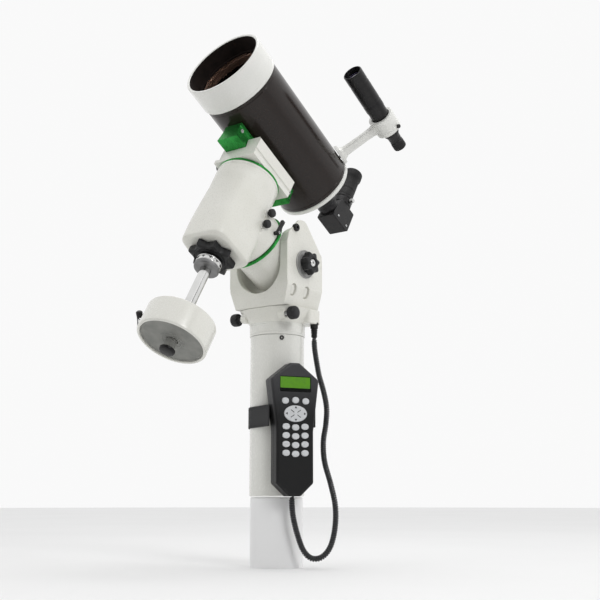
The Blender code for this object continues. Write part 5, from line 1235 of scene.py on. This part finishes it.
# ======== carried-over frame nodes
CARRIED = {
    "azimuth_pivot_bolt": "satin_steel", "altitude_pivot_left": "satin_steel",
           "altitude_pivot_right": "satin_steel", "ra_bearing_front": "satin_steel",
           "ra_bearing_rear": "satin_steel", "ra_shaft": "satin_steel", "ra_worm_wheel": "brass",
           "ra_worm": "satin_steel", "ra_motor": "aluminium", "polar_scope": "black",
           "dec_bearing_lower": "satin_steel", "dec_bearing_upper": "satin_steel",
           "dec_shaft": "satin_steel", "dec_worm_wheel": "brass", "dec_worm": "satin_steel",
           "dec_motor": "aluminium", "handset_circuit_board": "board", "telescope_mirror": "mirror", }


def dress_carried():
    for name, finish_name in CARRIED.items():
        mesh = frame["nodes"][name].data
        mesh.materials.clear()
        mesh.materials.append(LOOKS[finish_name])


# ======== stage
FLOOR = -0.112            # height of the floor, just under the loop of the lead
CARD_REACH = 3.0          # of the dark card, from the middle of the stage


def stage_piece(name, bm, colour, other):
    made = as_object(name, bm)
    mesh = made.data
    mesh.shade_smooth()
    mesh.set_sharp_from_angle(angle=math.radians(40.0))
    mesh.materials.append(look(name, colour, other, 0.75, 0.04, mottle=2.0, grain=40.0, strength=0.0))


def build_stage():
    floor = lathe([(0.0, FLOOR), (4.0, FLOOR), (9.0, FLOOR)], 96)
    stage_piece("floor", floor, (0.82, 0.82, 0.82), (0.80, 0.80, 0.80))
    card = []
    for i in range(25):
        angle = math.radians(-51.0 + 5.0 * (i - 12))
        card.append((CARD_REACH * math.cos(angle), CARD_REACH * math.sin(angle)))
    card += [(1.03 * x, 1.03 * y) for x, y in reversed(card)]
    stage_piece("dark_card", prism(card, FLOOR + 0.02, 2.4), (0.035, 0.035, 0.035), (0.05, 0.05, 0.05))
    plinth = lathe([(0.0, FLOOR), (0.043, FLOOR), (0.043, -0.003), (0.041, -0.001), (0.0, -0.001)], 64)
    stage_piece("plinth", plinth, (0.88, 0.88, 0.88), (0.86, 0.86, 0.86))


def area_light(name, place, aim, size, power):
    data = bpy.data.lights.new(name, "AREA")
    data.shape = "DISK"
    data.size = size
    data.energy = power
    lamp = linked(name, data)
    lamp.location = place
    lamp.rotation_euler = (Vector(aim) - Vector(place)).to_track_quat("-Z", "Y").to_euler()


def build_lights():
    world = bpy.data.worlds.new("studio")
    world.use_nodes = True
    background = world.node_tree.nodes["Background"]
    background.inputs["Color"].default_value = (1.0, 1.0, 1.0, 1.0)
    background.inputs["Strength"].default_value = 0.95
    bpy.context.scene.world = world
    target = (0.0, 0.0, 0.35)
    area_light("key", (1.9, -0.7, 1.3), target, 0.8, 15.0)
    area_light("fill", (-0.4, -2.2, 1.1), target, 0.9, 3.5)
    area_light("top", (0.2, 0.2, 2.1), target, 1.2, 8.0)
    bpy.context.scene.view_settings.view_transform = "Standard"


# ======== the whole scene
build_camera()
build_cord()
build_stage()
build_lights()
build_pier()
build_base()
build_azimuth_knobs()
build_fork()
build_star_knob()
build_polar()
build_head()
build_dec_ring()
build_clutch()
build_bar()
build_counterweight()
build_saddle()
build_dovetail()
build_tube()
build_finder()
build_handset()
build_keys()
build_strap()
dress_carried()
